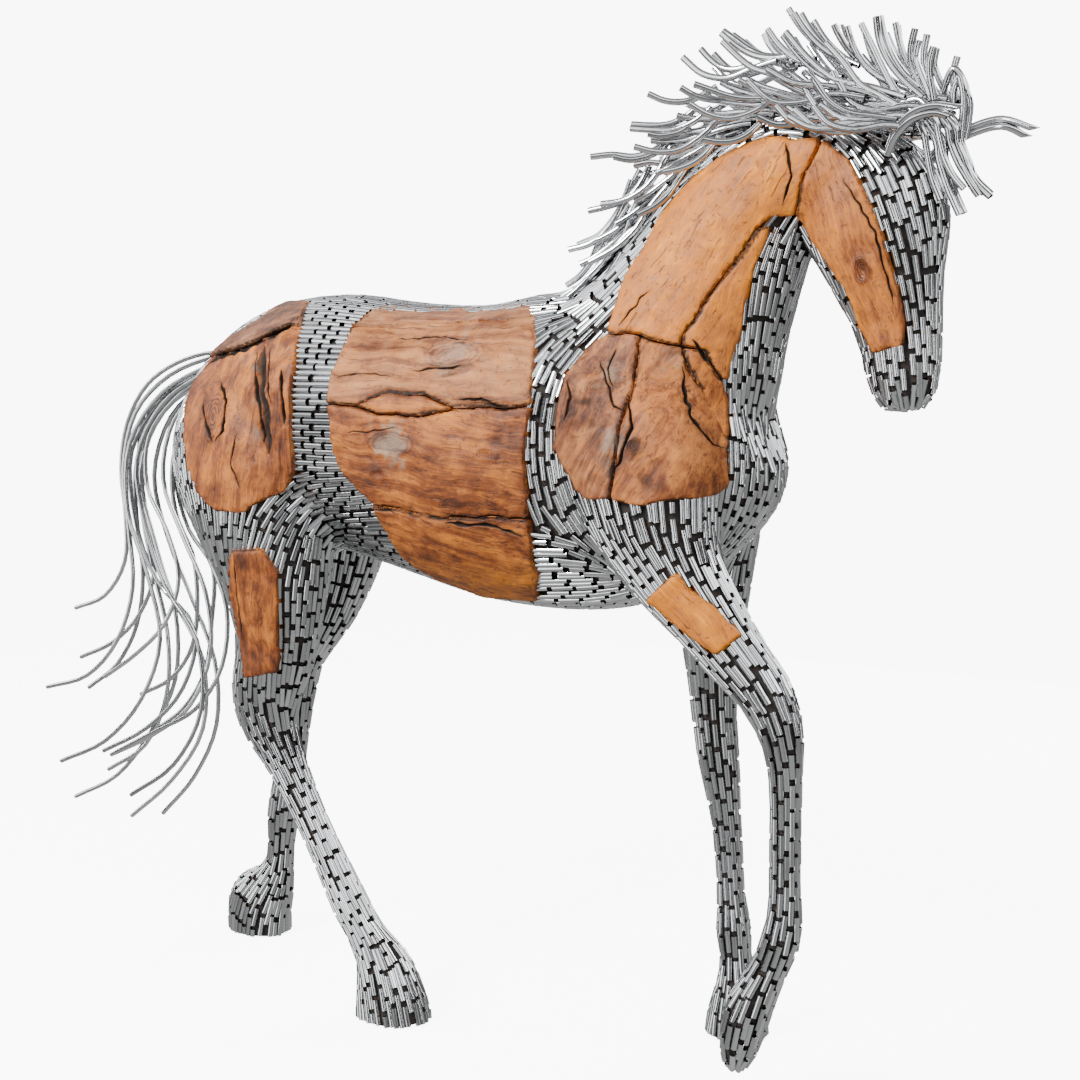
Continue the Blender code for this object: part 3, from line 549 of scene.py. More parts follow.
rows = []                                   # (measured places, shift of its first cut, stride)
waiting = []                                # places where a row may still be laid


def lay_row(spot, shift):
    """Lay a row through a place, and put its two neighbours on the waiting list."""
    spot, up, face, gap = skin.find_nearest(spot)
    row = len(rows)
    if gap > PITCH or taken(spot) or crowded(spot, START_ROOM * PITCH, row, 0):
        return
    run = (runs[face] - up * runs[face].dot(up)).normalized()
    back = follow(spot, -run, row, 0, -1)
    line = back[::-1] + [(0, spot, up, run)] + follow(spot, run, row, 0, 1)
    if len(line) < SHORTEST_ROW:
        return
    on_head = spot.x > HEAD_FROM_X * UNIT and spot.z > HEAD_FROM_Z * UNIT
    stride = STRIDE * (FACE_STRIDE if on_head else 1.0)
    rows.append((line, shift, stride))
    for at, place, up, run in line:
        crowd.setdefault(cell_of(place), []).append((row, at, *place))
    for at, place, up, run in line[1::2]:
        staggered = (shift - at * STEP / stride + 0.5) % 1
        for side in (1, -1):
            waiting.append((place + up.cross(run) * side * PITCH, staggered))


def lay_all(seeds):
    """Lay the rows that grow from each of these places, side by side."""
    for seed in seeds:
        waiting.append((Vector(seed), 0.0))
        done = 0
        while done < len(waiting):
            lay_row(*waiting[done])
            done += 1
        waiting.clear()


FIRST_ROWS = ((-10, 0, 97), (24, -15, 60), (-37, -17, 60), (33, 0, 84), (24, 12, 40),
              (-49, 12, 40), (57, 0, 105))
lay_all([Vector(place) * UNIT for place in FIRST_ROWS])
for centre in centres[::3]:                 # then wherever the form is still bare
    spot = Vector(centre)
    if not taken(spot) and not crowded(spot, LAST_ROOM * PITCH, -1, 0):
        lay_all([spot])

random.seed(7)
tubes = []                                  # (end, end, outward, tone)
for line, shift, stride in rows:
    begin, finish = line[0][0] * STEP, line[-1][0] * STEP
    cuts = []
    for n in range(math.floor(begin / stride - shift), math.ceil(finish / stride - shift) + 1):
        low = (n + shift) * stride + random.uniform(-SLIP, SLIP)
        high = low + stride - GAP + random.uniform(-0.003, 0.002)    # no two are sawn alike
        low, high = max(low, begin), min(high, finish)
        if high - low >= SHORTEST:
            cuts.append([low, high])
    if not cuts:
        continue
    if cuts[0][0] - begin < SHORTEST + GAP:
        cuts[0][0] = begin
    if finish - cuts[-1][1] < SHORTEST + GAP:
        cuts[-1][1] = finish
    for low, high in cuts:
        ends = []
        for mark in (low, high):
            at = (mark - begin) / STEP
            i = min(int(at), len(line) - 2)
            ends.append(line[i][1].lerp(line[i + 1][1], at - i))
        out = line[min(int(((low + high) / 2 - begin) / STEP), len(line) - 1)][2]
        lift = out * random.uniform(-0.8 * LIFT, LIFT)
        ends = ends[0] + lift, ends[1] + lift * random.uniform(-0.5, 1.2)
        tubes.append((*ends, out, random.random()))


def tube_stock(name, cut_tubes, stuff, sides=10):
    """Short straight open tubes as one mesh, with each tube's own tone."""
    ends = np.array([[t[0], t[1]] for t in cut_tubes])
    out = np.array([t[2] for t in cut_tubes])
    axis = ends[:, 1] - ends[:, 0]
    axis /= np.linalg.norm(axis, axis=1)[:, None]
    side = np.cross(out, axis)
    side /= np.linalg.norm(side, axis=1)[:, None]
    up = np.cross(axis, side)
    turn = math.tau * np.arange(sides) / sides
    ring = (side[:, None] * np.cos(turn)[None, :, None] + up[:, None] * np.sin(turn)[None, :, None])
    rings = [ends[:, e, None] + ring * r for r in (TUBE, TUBE - WALL) for e in (0, 1)]
    verts = np.stack(rings, axis=1).reshape(-1, 3)
    k = np.arange(sides)
    n = (k + 1) % sides
    quads = np.vstack([              # outside, inside and the two sawn ends
        np.stack([a * sides + k, a * sides + n, b * sides + n, b * sides + k], axis=1)
        for a, b in ((0, 1), (3, 2), (1, 3), (2, 0))])
    every = (np.arange(len(ends)) * 4 * sides)[:, None, None] + quads[None]
    mesh = bpy.data.meshes.new(name)
    mesh.from_pydata(verts.tolist(), [], every.reshape(-1, 4).tolist())
    tone = mesh.attributes.new("tone", "FLOAT", "FACE")
    tone.data.foreach_set("value", np.repeat([t[3] for t in cut_tubes], len(quads)))
    mesh.materials.append(stuff)
    mesh.shade_smooth()
    mesh.set_sharp_from_angle(angle=math.radians(55))
    return put(name, mesh)


# Drawn stainless: one length is paler or greyer than the next, with a haze from handling.
STEEL = (0.57, 0.58, 0.59)
steel, shader = finish_of("drawn stainless tube", STEEL, Metallic=1.0)
where = Wire.node("ShaderNodeTexCoord", out="Object")
tone = Wire.node("ShaderNodeAttribute", {"attribute_name": "tone"}, out="Fac")
haze = cloud(where, 16.0, 4.0, 0.6)
grime = cloud(where, 9.0, 5.0, 0.65).stretch(0.52, 0.7)
shine = blend(tone, tuple(0.7 * c for c in STEEL), tuple(1.2 * c for c in STEEL))
feed(shader, Base_Color=blend(grime * 0.25, shine, (0.16, 0.15, 0.13)),
     Roughness=haze * 0.12 + tone * 0.06 + 0.01)

# The skin is kept as four meshes, which meet at these places, in UNITs.
LEGS_BELOW, BELLY_FROM, BELLY_TO = 66, -18, 8
NECK_ABOVE, NECK_FROM, HEAD_FROM = 86, 20, 38
skins = {"skin_trunk": [], "skin_neck": [], "skin_hind_legs": [], "skin_fore_legs": []}
for tube in tubes:
    x, z = tube[0].x / UNIT, tube[0].z / UNIT
    if z < LEGS_BELOW and not BELLY_FROM < x < BELLY_TO:
        skins["skin_hind_legs" if x < 0 else "skin_fore_legs"].append(tube)
    elif x > HEAD_FROM or x > NECK_FROM and z > NECK_ABOVE:
        skins["skin_neck"].append(tube)
    else:
        skins["skin_trunk"].append(tube)
for name, some in skins.items():
    fasten(tube_stock(name, some, steel))

# --- Mane -----------------------------------------------------------------------------------
# Single lengths of a slightly stouter tube, each bent to a soft S and welded by one end to the
# crest of the neck. They sweep back in five rows, under those that stand free at the edge.
def weave(count, turn=0.618034):
    """Evenly scattered numbers from 0 to 1."""
    return [((k + 1) * turn) % 1.0 for k in range(count)]


def crest_seat(share, fan):
    """A place on the crest, with its backward and outward directions, in UNITs."""
    path = smooth_path(NECK, 6)[:, :3]
    at = (CREST_FROM + CREST_LONG * share) * (len(path) - 1)
    i = min(int(at), len(path) - 2)
    centre = Vector(path[i] * (1 - at + i) + path[i + 1] * (at - i))
    back = Vector(path[i] - path[i + 1]).normalized()
    out = Matrix.Rotation(fan, 3, back) @ Vector((back.z, 0, -back.x))
    return outer.ray_cast((centre + out * 30) * UNIT, -out)[0] / UNIT, back, out


def swept(start, first, second, length, turns, steps, drift):
    """Curve whose heading turns from one direction towards another."""
    points = [start.copy()]
    for k in range(steps):
        angle = math.radians(np.interp((k + 0.5) / steps, *zip(*turns)))
        run = (first * math.cos(angle) + second * math.sin(angle) + drift).normalized()
        points.append(points[-1] + run * length / steps)
    return points


def bent_stock(name, lines, stuff, radius, sides=9, slant=0.0):
    """Bent open tubes as one mesh, cut slantwise at their tips; lines are in UNITs."""
    bm = bmesh.new()
    tone = bm.faces.layers.float.new("tone")
    for line, shade_of in zip(lines, weave(len(lines), 0.7548)):
        path = [Vector(p) * UNIT for p in line]
        side = Vector((0, 1, 0))
        shells = []
        for reach in (radius, radius - WALL):
            rings = []
            for i, centre in enumerate(path):
                run = (path[min(i + 1, len(path) - 1)] - path[max(i - 1, 0)]).normalized()
                side = (side - run * side.dot(run)).normalized()
                up = run.cross(side)
                cut = slant * radius if i == len(path) - 1 else 0.0
                turns = [math.tau * k / sides for k in range(sides)]
                rings.append([bm.verts.new(centre + (side * math.cos(t) + up * math.sin(t)) * reach
                                           + run * cut * math.sin(t)) for t in turns])
            shells.append(rings)
        out, bore = shells
        bands = [*zip(out, out[1:]), *zip(bore[1:], bore), (bore[0], out[0]), (out[-1], bore[-1])]
        for k in range(sides):
            n = (k + 1) % sides
            for a, b in bands:
                bm.faces.new((a[k], a[n], b[n], b[k]))[tone] = shade_of
    thing = solid(name, bm, stuff)
    thing.data.shade_smooth()
    thing.data.set_sharp_from_angle(angle=math.radians(50))
    return thing


MANE_TUBE = 0.0070                          # radius of the bent stock, a size up from the skin
CREST_FROM, CREST_LONG = 0.14, 0.69         # the stretch of the neck that carries the mane
# The tubes that stand free: y at root and tip, then (x, z) from root to tip, in UNITs.
MANE_TUBES = [
    (-2, -4, [(16.8, 113.2), (15.8, 110.2), (14.2, 107.4), (11.9, 105.4), (8.8, 104.6)]),
    (-1, -2, [(17.5, 114.5), (15.9, 111.6), (14.2, 108.8), (12, 106.5), (9, 105.3)]),
    (-4, -7, [(23.1, 112.1), (21, 109.5), (19.2, 106.6), (16.7, 104.4), (13.7, 102.8)]),
    (-2, -4, [(19.4, 114.8), (18.3, 112.5), (16.6, 110.7), (14.2, 109.9), (11.7, 109.4)]),
    (-3.5, -6, [(23.2, 116.8), (22, 114.1), (20.2, 111.8), (17.6, 110.4), (14.7, 110)]),
    (-4.5, -7.5, [(26.4, 114.7), (25.4, 112.8), (24.3, 110.9), (22.7, 109.4), (20.8, 108.4)]),
    (-2, -5, [(22.7, 118.5), (20.6, 116.7), (18.1, 115.9), (15.3, 116.2), (12.6, 116)]),
    (-2.5, -5.5, [(22.2, 117.5), (21.1, 116.3), (19.5, 115.6), (17.9, 115.4), (16.2, 115.8)]),
    (-4, -7, [(30, 119.7), (28, 117.7), (25.5, 116.2), (22.7, 116), (20, 116.7)]),
    (-3, -5, [(28.5, 121.3), (26.4, 119.7), (23.8, 118.8), (21.1, 118.9), (18.3, 119.2)]),
    (-2, -4, [(26.1, 121.6), (24.3, 120.3), (22.3, 119.6), (20.1, 119.6), (17.9, 119.8)]),
    (-3.5, -5, [(25.8, 119.2), (24.7, 118.5), (23.4, 118.2), (22.1, 118.1), (20.8, 118.4)]),
    (-4.8, -7.5, [(30.5, 117.5), (29.4, 115.9), (28, 114.6), (26.2, 113.8), (24.3, 113.4)]),
    (-5, -7.5, [(35.9, 118.7), (34.7, 117.5), (33.2, 116.8), (31.5, 116.7), (29.8, 117)]),
    (-2, -4.5, [(28.7, 123.9), (26.8, 122.8), (24.7, 122.2), (22.5, 122.4), (20.5, 123.3)]),
    (-3, -5.5, [(31.6, 122.2), (30, 122), (28.4, 122.2), (26.9, 122.7), (25.5, 123.6)]),
    (-4, -7.5, [(36.8, 121.4), (34.7, 120.1), (32.3, 119.5), (29.9, 120), (27.8, 121.3)]),
    (-3, -6, [(34.9, 121.9), (33, 122), (31.2, 122.4), (29.4, 123.1), (27.6, 123.8)]),
    (-2, -3.5, [(36.6, 126.4), (33.5, 125.6), (30.4, 124.7), (27.2, 125.4), (24.7, 127.5)]),
    (-1, -1, [(32.8, 126.3), (30.8, 125.9), (28.9, 126.2), (27.3, 127.3), (25.9, 128.7)]),
    (-1.5, -2.5, [(39.4, 127.1), (36.7, 126.7), (34, 127.1), (31.6, 128.3), (29.4, 130.1)]),
    (-0.5, -0.5, [(36.1, 127), (34, 127.4), (32.1, 128.3), (30.4, 129.5), (28.7, 130.7)]),
    (-2.5, -4, [(38.7, 124.1), (36.3, 124.8), (34, 125.6), (32.1, 127.1), (30.3, 128.9)]),
    (-2, -3, [(42.6, 124.8), (40.6, 125.6), (38.7, 126.7), (37.1, 128.2), (35.8, 130)]),
    (0, 0, [(37.9, 126.4), (36.6, 126.9), (35.5, 127.7), (34.6, 128.8), (34, 130)]),
    (-0.5, -1, [(44.3, 125.8), (42.3, 127.1), (40.5, 128.7), (38.9, 130.5), (37.6, 132.5)]),
    (-1.5, -2, [(45, 125.9), (43.1, 126.9), (41.4, 128.3), (40, 129.9), (38.8, 131.7)]),
    (-3, -4, [(53.2, 120.9), (49.1, 122.3), (44.9, 123.4), (41.5, 126), (38.6, 129.3)]),
    (-2, -3, [(43.5, 123.7), (41.8, 124.7), (40.3, 126), (39, 127.5), (37.8, 129.1)]),
    (-3.5, -4.5, [(53.4, 119.5), (50.7, 121.1), (48, 122.7), (46.1, 125.2), (44, 127.5)]),
    (-3.5, -6, [(51, 120.7), (47.6, 122), (44, 122.6), (40.4, 123.1), (37.2, 124.9)]),
    (-4.5, -7.5, [(48.9, 120.9), (45.3, 121.5), (41.7, 120.7), (38.2, 121), (35.5, 123.4)]),
    (-5, -7, [(53.1, 118.2), (50.3, 118.7), (47.6, 119.2), (45.3, 120.7), (43.7, 123)]),
    (-5.5, -7.5, [(54, 117.2), (50.7, 117.7), (47.3, 117), (44.1, 117.6), (41.5, 119.8)]),
    (-5, -7.5, [(45, 120.3), (43.1, 119.3), (41.1, 118.4), (38.9, 118.3), (36.9, 119.2)]),
    (1, 2, [(45.5, 126.5), (44.7, 127.4), (44.1, 128.3), (43.5, 129.4), (43.1, 130.4)]),
    (-1.5, -2, [(51.5, 122.6), (49.3, 123.7), (47.5, 125.3), (46.3, 127.3), (45.5, 129.6)]),
    (-2.5, -3, [(53.8, 119.8), (51.8, 121.9), (50.3, 124.4), (49, 127), (47.7, 129.6)]),
    (-2.5, -2.5, [(55.2, 120.8), (53, 122.7), (51.1, 124.9), (49.8, 127.5), (49.3, 130.3)]),
    (-1.5, -1.5, [(54.4, 122.1), (52.5, 123.7), (51, 125.8), (50, 128.1), (49.4, 130.5)]),
    (-1.5, -1, [(55.5, 120.9), (54.2, 122.7), (53.3, 124.6), (53.1, 126.7), (53.5, 128.8)]),
    (-2.5, -2, [(56.2, 120.4), (55.4, 122.1), (54.6, 123.8), (54, 125.5), (54.3, 127.3)]),
    (-3, -3, [(56.7, 120.3), (56.4, 121.8), (56.1, 123.3), (56.1, 124.8), (56.5, 126.3)]),
    (-3, -3, [(13, 103), (11.4, 101.1), (9.4, 99.7), (7, 98.9), (4.6, 98.5)]),
    (-1.5, -1.5, [(12.8, 106.5), (11.8, 104.6), (10.4, 102.8), (8.9, 101.3), (7, 100.2)]),
    (-5, -5.4, [(16.5, 102.8), (14.9, 101.1), (13, 99.6), (11, 98.3), (8.8, 97.4)]),
    (-5.5, -5.6, [(17.5, 104), (16.6, 102.7), (15.6, 101.4), (14.6, 100.2), (13.2, 99.4)]),
    (-2, -2, [(9.3, 99.8), (7.4, 99), (5.4, 98.5), (3.4, 98.2), (1.3, 97.8)]),
    (-1, -1, [(15.9, 111.3), (14.6, 109.4), (13.1, 107.6), (11.7, 105.8), (10.6, 103.7)]),
    (-3, -3, [(17, 110.1), (15.9, 108.6), (14.8, 107), (13.9, 105.3), (13.4, 103.5)]),
    (-4, -4, [(19.4, 111.3), (18.6, 109.9), (17.9, 108.5), (17.3, 107), (16.6, 105.6)]),
]
MANE_ROWS = ((16, 0), (17, 8), (17, -8), (15, 15), (15, -15))    # tubes in a row, and its lean
strands = []
for base, tip, line in MANE_TUBES:
    path = [(x, base + (tip - base) * k / 4, z) for k, (x, z) in enumerate(line)]
    strands.append(smooth_path(path, 4))
    strands.append(smooth_path([(x + 0.5, 0.6 - y, z - 0.3) for x, y, z in path], 4))
for row, (many, lean) in enumerate(MANE_ROWS):
    for k, jog in enumerate(weave(many, 0.618034 + 0.05 * row)):
        share = (k + 0.5 * (row % 2) + 0.3) / many
        fan = math.radians(lean + 7 * (jog - 0.5))
        seat, back, out = crest_seat(share, fan)
        turns = [(0, 26), (0.35, 12), (0.7, 8 + 14 * jog), (1, 16 + 24 * jog)]
        drift = Vector((0, 0.5 * math.sin(fan), 0))
        strands.append(swept(seat + out * 0.3, back, out, 9 + 4 * jog, turns, 12, drift))
for k, jog in enumerate(weave(12)):         # the thick bundle swept back off the poll
    lift, back = k % 4, k // 4
    base = (55.4 - 2.3 * back + 0.8 * lift, -5.8 + 1.35 * lift, 117.0 + 1.15 * lift + 0.25 * back)
    ends = [(0, 0, 0), (-3.2, -0.5, 0.5), (-6.5, -1.0, 0.1), (-9.6, -1.5, 0.3 + jog),
            (-12.4 + 1.5 * jog, -1.8, 1.6 + 2.2 * jog)]
    for far in (0, 1):
        strands.append(smooth_path([(base[0] + x, (base[1] + y) * (1 - 2 * far), base[2] + z)
                                    for x, y, z in ends], 4))
fasten(bent_stock("mane_tubes", strands, steel, MANE_TUBE), "mane")

# --- Forelock -------------------------------------------------------------------------------
# A handful of the mane's tubes that fall over the brow. Those of the right side are welded to the
# poll under the mane, with their like on the left; the longest hook over from the middle.
ROOTED = ((52.4, 0.5, 120.3), (54.9, 0.3, 120.5))    # where the side tubes leave the mane
LOCKS = [
    [(56.8, -3, 118.2), (57.3, -2.8, 116.3), (57.9, -2.6, 113.9), (58.9, -2.4, 111.9),
     (60.2, -2.2, 110.3)],
    [(57.8, -2, 117.6), (58.3, -1.8, 115.5), (59.1, -1.7, 113.6), (59.8, -1.5, 112.3),
     (60.8, -1.4, 110.7), (61.6, -1.2, 109.5)],
    [(58.3, -1, 117.7), (58.8, -0.9, 115.6), (59.5, -0.8, 114), (60.1, -0.6, 112.5),
     (61.1, -0.5, 110.9), (62.7, -0.4, 109.4)],
    [(58.6, 0, 123.1), (59, 0.1, 121.3), (59, 0.2, 118.9), (58.8, 0.3, 116.5), (59.2, 0.4, 114.9),
     (59.9, 0.5, 113.2), (60.3, 0.6, 111.6)],
    [(59.1, 0.6, 121.8), (59.6, 0.8, 120.2), (59.4, 1, 118.2), (59, 1.2, 116.3)],
    [(56.2, 1.2, 121.7), (57, 1.3, 123.9), (57.8, 1.3, 124.1), (58.8, 1.4, 122.3),
     (59.2, 1.4, 120.1), (59, 1.5, 117.8), (58.4, 1.6, 116.2), (58.9, 1.6, 114.4),
     (59.8, 1.7, 112.1), (61.3, 1.7, 110.4), (62, 1.8, 109.5)],
    [(57.7, 0.3, 119.8), (57.7, 0.3, 121.3), (58, 0.3, 122.4), (58.5, 0.3, 123.1)]]
locks = []
for lock in LOCKS:
    aside = lock[0][1]
    if aside < 0:
        lock = [(x, aside + y, z) for x, y, z in ROOTED] + lock
    locks.append(smooth_path(lock, 4))
    if aside < 0:
        locks.append(smooth_path([(x - 0.6, 1.2 - y, z + 0.5) for x, y, z in lock], 4))
        locks.append(smooth_path([(x - 1.1, y - 0.7, z - 0.3 - 0.5 * k)
                                  for k, (x, y, z) in enumerate(lock[:-1])], 4))
fasten(bent_stock("forelock_tubes", locks, steel, MANE_TUBE))

# --- Ears -----------------------------------------------------------------------------------
# Three of the same tubes laid together make each ear. They rise from the poll, bend forward and
# are cut slantwise, so that the ear ends in a point.
EAR_TUBES = {"ear_right_tubes": [(52.2, -5.4, 114.6), (53.4, -6.0, 116.6), (55.6, -6.7, 118.2),
                                 (58.3, -7.4, 118.7), (61.2, -8, 118.2)],
             "ear_left_tubes": [(53.6, 3.2, 113.8), (56.0, 3.4, 115.8), (58.6, 4.2, 117.4),
                                (61.8, 5.8, 118.3), (64.9, 8, 117.2)]}
EAR_BUNDLE = ((0.46, 0.1, 0), (-0.40, -0.15, 0.8), (0, 0.55, 1.5))    # up, aside and cut short by
EAR_SWELL = (0.9, 1.1, 1.1, 1, 0.9)
EAR_SLANT = 1.6
for name, middle in EAR_TUBES.items():
    lines = []
    for lift, spread, short in EAR_BUNDLE:
        lines.append(smooth_path([(x - short * (k == 4), y + spread * EAR_SWELL[k], z + lift)
                                  for k, (x, y, z) in enumerate(middle)], 5))
    fasten(bent_stock(name, lines, steel, MANE_TUBE, slant=EAR_SLANT), name.replace("_tubes", ""))

# --- Tail -----------------------------------------------------------------------------------
# Long thin rods of stainless, welded to the dock at one end. They arch out, fall side by side,
# cross in loose handfuls and flick back at their tips.
TAIL_ROD = 0.0058                           # radius
DOCK = (-52.5, 89.6)                        # every rod starts under the skin here, (x, z)
# The rods: y at root and tip, then (x, z) from root to tip, in UNITs.
TAIL_RODS = [
    (0.6, 3, [(-56, 91.1), (-63.4, 89.6), (-70.1, 86.1), (-74.7, 80.2), (-76.6, 73),
        (-76.2, 65.5), (-76.9, 58.2), (-81.7, 52.4), (-88.7, 49.8)]),
    (-0.6, -3, [(-54.7, 90.5), (-63.4, 87.7), (-70.3, 81.9), (-72.8, 73.2), (-71.7, 64.2),
        (-70.9, 55.1), (-74.1, 46.6), (-80.6, 40.4), (-89.3, 37.7)]),
    (0.3, 1, [(-56.6, 88.8), (-64, 85.9), (-69.9, 80.6), (-71.8, 73.1), (-70.5, 65.3),
        (-69, 57.5), (-72.4, 50.4), (-78.4, 45.4), (-85.7, 42.3)]),
    (1.2, 4, [(-56.9, 89.2), (-64.4, 85.5), (-70.7, 80.1), (-74, 72.6), (-74.2, 64.4),
        (-73.6, 56.1), (-75.5, 48.1), (-80.3, 41.3), (-87.2, 36.7)]),
    (-0.9, -4, [(-55.6, 88.2), (-62.2, 84.2), (-67.2, 78.5), (-67.4, 70.9), (-63.3, 64.5),
        (-60.6, 57.3), (-63.3, 50.2), (-68.9, 45.1), (-75.4, 40.9)]),
    (0.9, 2, [(-57.2, 86.6), (-62.1, 81.1), (-65.1, 74.4), (-64.9, 67.1), (-61.7, 60.5),
        (-61, 53.3), (-62.4, 46), (-67.1, 40.5), (-73.7, 37.3)]),
    (-1.2, -5, [(-54.7, 89.4), (-64.2, 85.1), (-70.7, 77.3), (-71, 67), (-66.8, 57.5),
        (-64, 47.7), (-67.7, 38.2), (-75.1, 30.9), (-84.5, 26.6)]),
    (0.1, -1, [(-56.5, 88.6), (-65.8, 83.9), (-72.3, 75.9), (-71.8, 65.6), (-67.5, 56.3),
        (-59.7, 49.3), (-62.2, 39.9), (-69.9, 32.8), (-79.2, 28.1)]),
    (-0.3, -3, [(-55.9, 87.3), (-62.9, 81.1), (-65.1, 72.1), (-61.1, 63.6), (-56.4, 55.4),
        (-55.3, 46.3), (-59.3, 37.8), (-66.9, 32.4), (-75.5, 28.3)]),
    (-0.1, 0, [(-56, 88.4), (-64.6, 83.9), (-70.3, 76.3), (-70.5, 66.6), (-68.3, 57.2),
        (-65.8, 47.9), (-66.3, 38.3), (-71, 29.9), (-79.2, 24.9)]),
    (1.5, 5, [(-57.7, 87.9), (-67.5, 82.4), (-72.7, 72.7), (-71.1, 61.6), (-67.2, 51.1),
        (-67.9, 40), (-74, 30.6), (-81.9, 22.7), (-92, 17.7)]),
    (-1.5, -5, [(-54.7, 88.6), (-63.9, 83.5), (-69.1, 74.8), (-67.1, 64.6), (-63.1, 56),
        (-56.4, 48.1), (-55.5, 37.7), (-60.8, 28.9), (-69.5, 23.1)]),
    (-0.5, -2, [(-55.7, 87.7), (-65, 82.1), (-69.9, 72.9), (-67.1, 62.5), (-63.3, 53.9),
        (-57.4, 44.9), (-57.5, 34.2), (-63.9, 25.5), (-72.4, 18.7)]),
    (0.7, 3.5, [(-56.8, 87.1), (-65.2, 81.3), (-69.2, 72.1), (-66.9, 62.4), (-62.6, 53.4),
        (-58.5, 44), (-58.7, 34), (-63.7, 25.2), (-71, 18.1)]),
    (-1.3, -4.5, [(-54.7, 85), (-59.8, 77.9), (-59.1, 69.2), (-55.1, 61.3), (-51.1, 53.4),
        (-51.9, 44.7), (-57, 37.7), (-64.9, 33.5), (-72.8, 29.4)]),
    (1.3, 4.5, [(-57.1, 85.8), (-62.8, 79.8), (-65.4, 72.1), (-63.3, 64.1), (-58.9, 58.2),
        (-59.7, 50.1), (-61.6, 42.1), (-66.5, 35.6), (-73.4, 31)]),
]
rods = []
for base, tip, line in TAIL_RODS:
    path = [(x, base + (tip - base) * k / 8, z) for k, (x, z) in enumerate(line)]
    rods.append(smooth_path([(DOCK[0], base, DOCK[1])] + path, 4))
fasten(bent_stock("tail_tubes", rods, steel, TAIL_ROD), "tail")

# --- Teak slabs -----------------------------------------------------------------------------
# Sawn pieces of old teak root, hollowed behind, ground to the horse's form and oiled. They are
# set into the skin a little proud of the tubes, with their drying cracks, knots and gouges left.
PROUD = 0.007                               # how far the wood stands out of the horse's form
RIM = 0.007                                 # painted shade along them, where the wood meets the tubes
RIM_SHADE = 0.004                           # dirt along them
SUNK = 0.010                                # the wood lies this much lower over the back
SKIN_OF_WOOD = 0.018                        # only this much of a slab follows its carved face
FINE = 0.005                                # mesh of the wood, finer along the cracks
BESIDE = 0.4                                # and this far beside them, in UNITs
WAVER = ((15, 0.006), (52, 0.0016))         # how close together and how far its edges stray
SWELLS = ((9, 0.004), (30, 0.002), (95, 0.0008))    # and its face rises and falls
KNOT_COLLAR, KNOT_HOLLOW = 0.0022, 0.0035   # a knot's raised ring, and the dip inside it
FAR_SHIFT = 1.6                             # the left side has its own cracks and knots, in UNITs
noise.seed_set(7)                           # without it the edges would differ in every run
# Grain direction in the side view in degrees, paleness and share of grey weathering.
WOODS = {"haunch_cap": (25, 0.22, 0.42), "haunch": (82, 0.44, 0.05),
         "flank_ridge": (2, 0.60, 0.46), "flank_upper": (1, 0.72, 0.42),
         "flank_key": (4, 0.55, 0.12), "flank_lower": (-6, 0.38, 0.12),
         "belly": (-14, 0.55, 0.04), "shoulder_rear": (66, 0.40, 0.34),
         "shoulder": (56, 0.56, 0.28), "shoulder_wedge": (62, 0.55, 0.15),
         "neck": (58, 1.06, 0.0), "throat": (62, 0.88, 0.02), "cheek": (-72, 0.74, 0.02),
         "gaskin_right": (88, 0.32, 0.08), "gaskin_left": (70, 0.5, 0.1),
         "forearm_right": (-46, 1.08, 0.03), "forearm_left": (88, 0.8, 0.05)}
